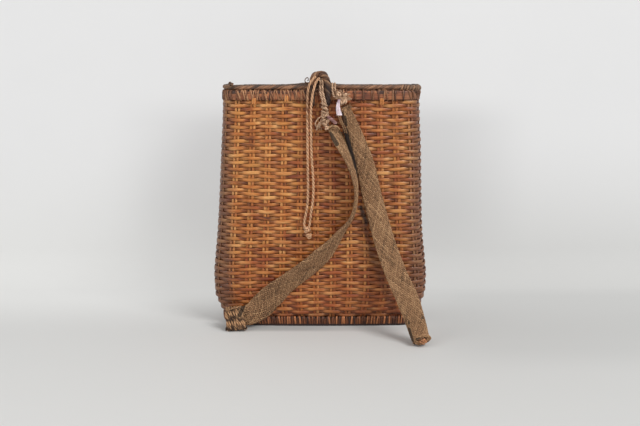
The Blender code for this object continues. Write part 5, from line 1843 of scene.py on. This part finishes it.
class BASKET_OT_left_strap(Maker, bpy.types.Operator):
    """Plaits the left strap and lays the rope round its lower end"""

    bl_idname = "basket.left_strap"
    bl_label = "Left strap"

    def make(self, sizes, colours):
        yarn, inner = strap_fibres(colours, "left", LEFT_STRAP_HOLLOWS)
        sleeve = Sleeve("left_strap", LEFT_STRAP_ROUTE, STRAP_STATIONS, self.spread)
        meshes = plait(sleeve, yarn, sizes.plait_count, 131)
        # A dark lining under the plait paints the shade seen through its gaps
        meshes.append(closed_tube(sleeve.place, LINING_COLUMNS, sleeve.stations, inner, -LINING_DEPTH))
        meshes += twisted(Path(LEFT_STRAP_LIP, 30), 0.0015, 3, 0.01, yarn, 133)
        # The strap's turned-in edge beside the right strap, coloured dark to paint the shade in the gap there
        shade = fibre("strap_fold", colours.hollow, colours.hollow, colours.handle_dark, rough=0.9)
        fold = tube_place(Path(LEFT_STRAP_FOLD, 30), lambda share: 0.0034 - 0.0018 * share)
        meshes.append(closed_tube(fold, 12, 30, shade))
        settle(joined("left_strap_plait", meshes), "left_strap", "plaited_strap", "left_strap")
        # The rope takes the painted shade of the hole between it and the strap's end
        rope = fibre("corner_rope", colours.rope_light, colours.rope_light, colours.rope_dark,
                     rough=0.8, fine=2400.0, long=200.0, edge=1.1, vary=0.9, blotchy=2.0,
                     tint=strap_tint(colours, LEFT_STRAP_HOLLOWS[-1:]))
        axis = Vector(CORNER_AXIS).normalized()
        side = FRONT.cross(axis)
        turn_count, pitch = 8, 0.00405
        points = []
        rolls = random.Random(12)
        for index in range(turn_count * 16 + 1):
            turn = 2 * math.pi * index / 16
            across = math.copysign(abs(math.cos(turn)) ** (2 / 2.6), math.cos(turn)) * 0.0162
            proud = math.copysign(abs(math.sin(turn)) ** (2 / 2.6), math.sin(turn))
            proud *= 0.013 if proud > 0 else 0.0082
            # The rope lies nearer to the viewer on the floor than at its top
            proud += 0.013 * max(0.0, math.cos(turn))
            # The first turn leans over the second one at the top, beside the strap's open end
            lean = 0.006 * max(0.0, 1.0 - abs(index - 8) / 8)
            travel = pitch * (index / 16 - turn_count / 2) + lean + rolls.uniform(-0.0008, 0.0008)
            proud += math.copysign(0.0012 * max(0.0, 1.0 - abs(index - 8) / 8), proud)
            points.append(Vector(CORNER_CENTRE) + side * across + FRONT * proud + axis * travel)
        coil = Path(points, 430)
        meshes = twisted(coil, sizes.corner_rope_radius, 3, 0.016, rope, 141,
                         steps_per_turn=12, wander=0.0006)
        meshes += twisted(Path(CORNER_LOOP, 50), 0.0013, 2, 0.009, rope, seed=143)
        settle(joined("left_corner_rope", meshes), "left_strap", "corner_rope", "left_corner_loop")
        stub = Path(ANCHOR_ROUTE, 10)
        meshes = twisted(stub, 0.0024, 3, 0.012, rope, seed=142, steps_per_turn=12)
        settle(joined("left_corner_stub", meshes), "basket", "corner_rope", "left_corner_anchor")

    def spread(self, share):
        """How much wider the strap is at its left and right edges."""
        for before, after in zip(LEFT_STRAP_WIDENING, LEFT_STRAP_WIDENING[1:]):
            if before[0] <= share < after[0]:
                rest = (share - before[0]) / (after[0] - before[0])
                return tuple(low + (high - low) * rest for low, high in zip(before[1:], after[1:]))
        raise ValueError(f"no widening at {share}")


class BASKET_OT_right_strap(Maker, bpy.types.Operator):
    """Plaits the right strap, with its open end and the loose fibre in it"""

    bl_idname = "basket.right_strap"
    bl_label = "Right strap"

    def make(self, sizes, colours):
        yarn, inner = strap_fibres(colours, "right", RIGHT_STRAP_HOLLOWS)
        loose = fibre("frayed_fibre", colours.fray_light, colours.fray_light, colours.fray_dark,
                      rough=0.85, edge=0.6, vary=1.0)
        sleeve = Sleeve("right_strap", RIGHT_STRAP_ROUTE, STRAP_STATIONS, self.spread)
        meshes = plait(sleeve, yarn, sizes.plait_count, 151)
        # The dark lining paints the shade inside the strap and its open end
        meshes.append(self.open_lining(sleeve, inner))
        # A dark flap paints the shade in the strap's open mouth
        flap = tube_place(Path(RIGHT_MOUTH_FLAP, 20), lambda share: 0.0034 - 0.0024 * share)
        meshes.append(closed_tube(flap, 12, 20, inner))
        for number, route in enumerate(RIGHT_MOUTH_EDGES):
            meshes += twisted(Path(route, 20), 0.0011, 2, 0.008, yarn, seed=153 + number)
        meshes += fray((0.044, -0.1125, 0.3655), (0.5, -0.2, 0.5), 0.01, 8, 0.5, yarn, 11, 0.0006, 0.2)
        mouth = Vector(RIGHT_STRAP_ROUTE[-1])
        bottom = Vector(RIGHT_BORE_BOTTOM)
        way = (mouth - bottom).normalized()
        meshes += self.lip(mouth, yarn)
        settle(joined("right_strap_plait", meshes), "right_strap", "plaited_strap", "right_strap")
        meshes = self.spill(mouth, loose)
        rolls = random.Random(17)
        for _ in range(46):
            turn = rolls.uniform(0, 2 * math.pi)
            reach = 0.0074 * math.sqrt(rolls.random())
            side = way.orthogonal().normalized()
            spot = side * math.cos(turn) * reach + way.cross(side) * math.sin(turn) * reach
            points = [bottom + spot * 0.9 - way * 0.0005]
            for step in range(1, 5):
                drift = Vector([rolls.uniform(-0.0007, 0.0007) for _ in range(3)])
                height = 0.0115 * rolls.uniform(0.85, 1.0) * step / 4
                points.append(bottom + spot * 0.95 + way * height + drift)
            meshes.append(closed_tube(tube_place(Path(points, 10), 0.0006), 5, 10, loose))
        settle(joined("right_strap_fibres", meshes), "right_strap", "frayed_core", "right_strap_core")

    def spread(self, share):
        """How much wider the strap is at its left and right edges, near its lower end."""
        right = 0.0062 * eased(share, 0.72, 0.88) - 0.003 * eased(share, 0.93, 1.0)
        return 0.003 * eased(share, 0.76, 0.9), right

    def lip(self, mouth, material):
        """Yarn ends that roll outward round the open end and face the viewer."""
        middle = mouth + Vector((0.0, -0.002, 0.0024))
        across, up = Vector((0.99, 0.1, 0.05)), Vector((0.0, -0.25, 0.97))
        meshes = []
        for ring, (reach, rope) in enumerate(((0.0096, 0.0024), (0.0126, 0.0018))):
            points = []
            for index in range(14):
                turn = 2 * math.pi * index / 14
                wide = reach * (1.0 + 0.1 * math.sin(3 * turn + ring))
                level = math.sin(turn) * wide * (0.72 if ring == 0 else 0.66)
                points.append(middle + across * (math.cos(turn) * wide) + up * level + UP * 0.0012)
            path = Path(points, 60, closed=True)
            meshes += twisted(path, rope, 3, 0.012, material, 156 + ring, wander=0.0012)
        return meshes

    def spill(self, mouth, material):
        """Loose fibre that bulges out of the open end."""
        middle = mouth + Vector((0.002, -0.004, 0.0008))
        rolls = random.Random(23)
        meshes = []
        for _ in range(34):
            turn = rolls.uniform(0, 2 * math.pi)
            reach = 0.0055 * math.sqrt(rolls.random())
            side = Vector((math.cos(turn), 0.0, 0.85 * math.sin(turn))) * reach
            bulge = 0.005 * (1.0 - (reach / 0.0062) ** 2)
            tip = middle + side * rolls.uniform(0.7, 1.1)
            tip += Vector((rolls.uniform(-0.001, 0.001), -bulge, 0.0))
            points = [middle + side * 0.8 + Vector((0.0, 0.006, 0.002)), middle + side, tip]
            meshes.append(closed_tube(tube_place(Path(points, 8), 0.00075), 6, 8, material))
        return meshes

    def open_lining(self, sleeve, material):
        """The strap's inside wall, closed at the top and open with a bore at the mouth."""
        bottom = Vector(RIGHT_BORE_BOTTOM)
        mouth = Vector(RIGHT_STRAP_ROUTE[-1])

        def bore_place(around, along):
            ray = (sleeve.place(around, 1.0)[0] - mouth).normalized()
            return blend_points(bottom, mouth, along) + ray * RIGHT_BORE_RADIUS, ray

        rings = [ring_of(sleeve.place, LINING_COLUMNS, row / sleeve.stations, -LINING_DEPTH, 0.04)
                 for row in range(sleeve.stations + 1)]
        rings += [ring_of(bore_place, LINING_COLUMNS, share, 0.0, 0.04) for share in (1.0, 0.5, 0.0)]
        return mesh_of_rows("lining", rings, material, tube=True)


class BASKET_OT_stage(bpy.types.Operator):
    """Sets the pale floor, the backdrop and the soft light"""

    bl_idname = "basket.stage"
    bl_label = "Stage and camera"

    def execute(self, context):
        scene = context.scene
        colours = scene.basket_colours
        steps = [-30.0 + 15.0 * step for step in range(5)]
        rows = [[((x, y, 0.0), (0.0, 0.0, 0.0)) for x in steps] for y in steps]
        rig.stage(new_object("floor", mesh_of_rows("floor", rows, paper("floor_paper", colours, False))))
        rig.stage(self.backdrop(colours))
        self.lights(scene, colours)
        scene.view_settings.view_transform = "Standard"
        return {"FINISHED"}

    def backdrop(self, colours):
        """A sheet that turns up from the floor close behind the basket."""
        profile = []
        for index in range(17):
            turn = math.pi / 2 * index / 16
            profile.append((BACKDROP_START + BACKDROP_BEND * math.sin(turn),
                            0.0003 + BACKDROP_BEND * (1.0 - math.cos(turn))))
        profile.append((profile[-1][0], BACKDROP_HEIGHT))
        edges = (-BACKDROP_HALF_WIDTH, BACKDROP_HALF_WIDTH)
        rows = [[((x, y, z), (0.0, 0.0, 0.0)) for x in edges] for y, z in profile]
        return new_object("backdrop", mesh_of_rows("backdrop", rows, paper("backdrop_paper", colours, True)))

    def lights(self, scene, colours):
        world = bpy.data.worlds.new("studio")
        scene.world = world
        world.use_nodes = True
        world.node_tree.nodes.clear()
        graph = Graph(world.node_tree)
        seen_light = graph.add("ShaderNodeBackground", {}, {
            "Color": (*colours.distance, 1.0), "Strength": 1.0})
        soft_light = graph.add("ShaderNodeBackground", {}, {
            "Color": (1.0, 1.0, 1.0, 1.0), "Strength": SOFT_LIGHT_STRENGTH})
        both = graph.add("ShaderNodeMixShader", {}, {0: graph.seen(), 1: soft_light, 2: seen_light})
        graph.add("ShaderNodeOutputWorld", {}, {"Surface": both})
        for name, place, size, power in LAMPS:
            lamp = bpy.data.lights.new(name, "AREA")
            lamp.shape = "SQUARE"
            lamp.size = size
            lamp.energy = power
            lit = bpy.data.objects.new(name, lamp)
            lit.location = place
            aim = Vector((0.0, 0.0, 0.15)) - Vector(place)
            lit.rotation_euler = aim.to_track_quat("-Z", "Y").to_euler()
            scene.collection.objects.link(lit)


class BASKET_OT_camera(bpy.types.Operator):
    """Places the camera where the photograph was taken from, before the cords are made"""

    bl_idname = "basket.camera"
    bl_label = "Camera"

    def execute(self, context):
        lens = bpy.data.cameras.new("camera")
        lens.lens = CAMERA_LENS
        lens.sensor_width = CAMERA_SENSOR
        camera = bpy.data.objects.new("camera", lens)
        camera.location = CAMERA_PLACE
        camera.rotation_euler = (math.radians(CAMERA_TILT_DEGREES), 0.0, 0.0)
        context.scene.collection.objects.link(camera)
        context.scene.camera = camera
        return {"FINISHED"}


class BASKET_PT_pieces(bpy.types.Panel):
    """Lists the basket's sizes, its colours and the buttons that make its pieces"""

    bl_idname = "BASKET_PT_pieces"
    bl_label = "Pack basket"
    bl_space_type = "VIEW_3D"
    bl_region_type = "UI"
    bl_category = "Basket"

    def draw(self, context):
        for operator in OPERATORS:
            self.layout.operator(operator.bl_idname)
        for group in (context.scene.basket_sizes, context.scene.basket_colours):
            box = self.layout.box()
            for name in group.__annotations__:
                box.prop(group, name)


OPERATORS = (
    BASKET_OT_camera, BASKET_OT_cords, BASKET_OT_ties, BASKET_OT_left_strap, BASKET_OT_right_strap,
    BASKET_OT_handle, BASKET_OT_wall, BASKET_OT_base, BASKET_OT_rim, BASKET_OT_foot, BASKET_OT_stage,
)
CLASSES = (BasketSizes, BasketColours, *OPERATORS, BASKET_PT_pieces)


def register():
    for made in CLASSES:
        bpy.utils.register_class(made)
    bpy.types.Scene.basket_sizes = PointerProperty(type=BasketSizes)
    bpy.types.Scene.basket_colours = PointerProperty(type=BasketColours)


def unregister():
    del bpy.types.Scene.basket_colours
    del bpy.types.Scene.basket_sizes
    for made in reversed(CLASSES):
        bpy.utils.unregister_class(made)


def main():
    """Makes every piece in order, the camera and the cords first, and writes the sizes."""
    register()
    for operator in OPERATORS:
        group, name = operator.bl_idname.split(".")
        getattr(getattr(bpy.ops, group), name)()
    low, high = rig.bounds()
    with open("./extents.json", "w") as sizes:
        json.dump({"cad": [list(cad_low), list(cad_high)], "visual": [list(low), list(high)]}, sizes)


if __name__ == "__main__":
    main()
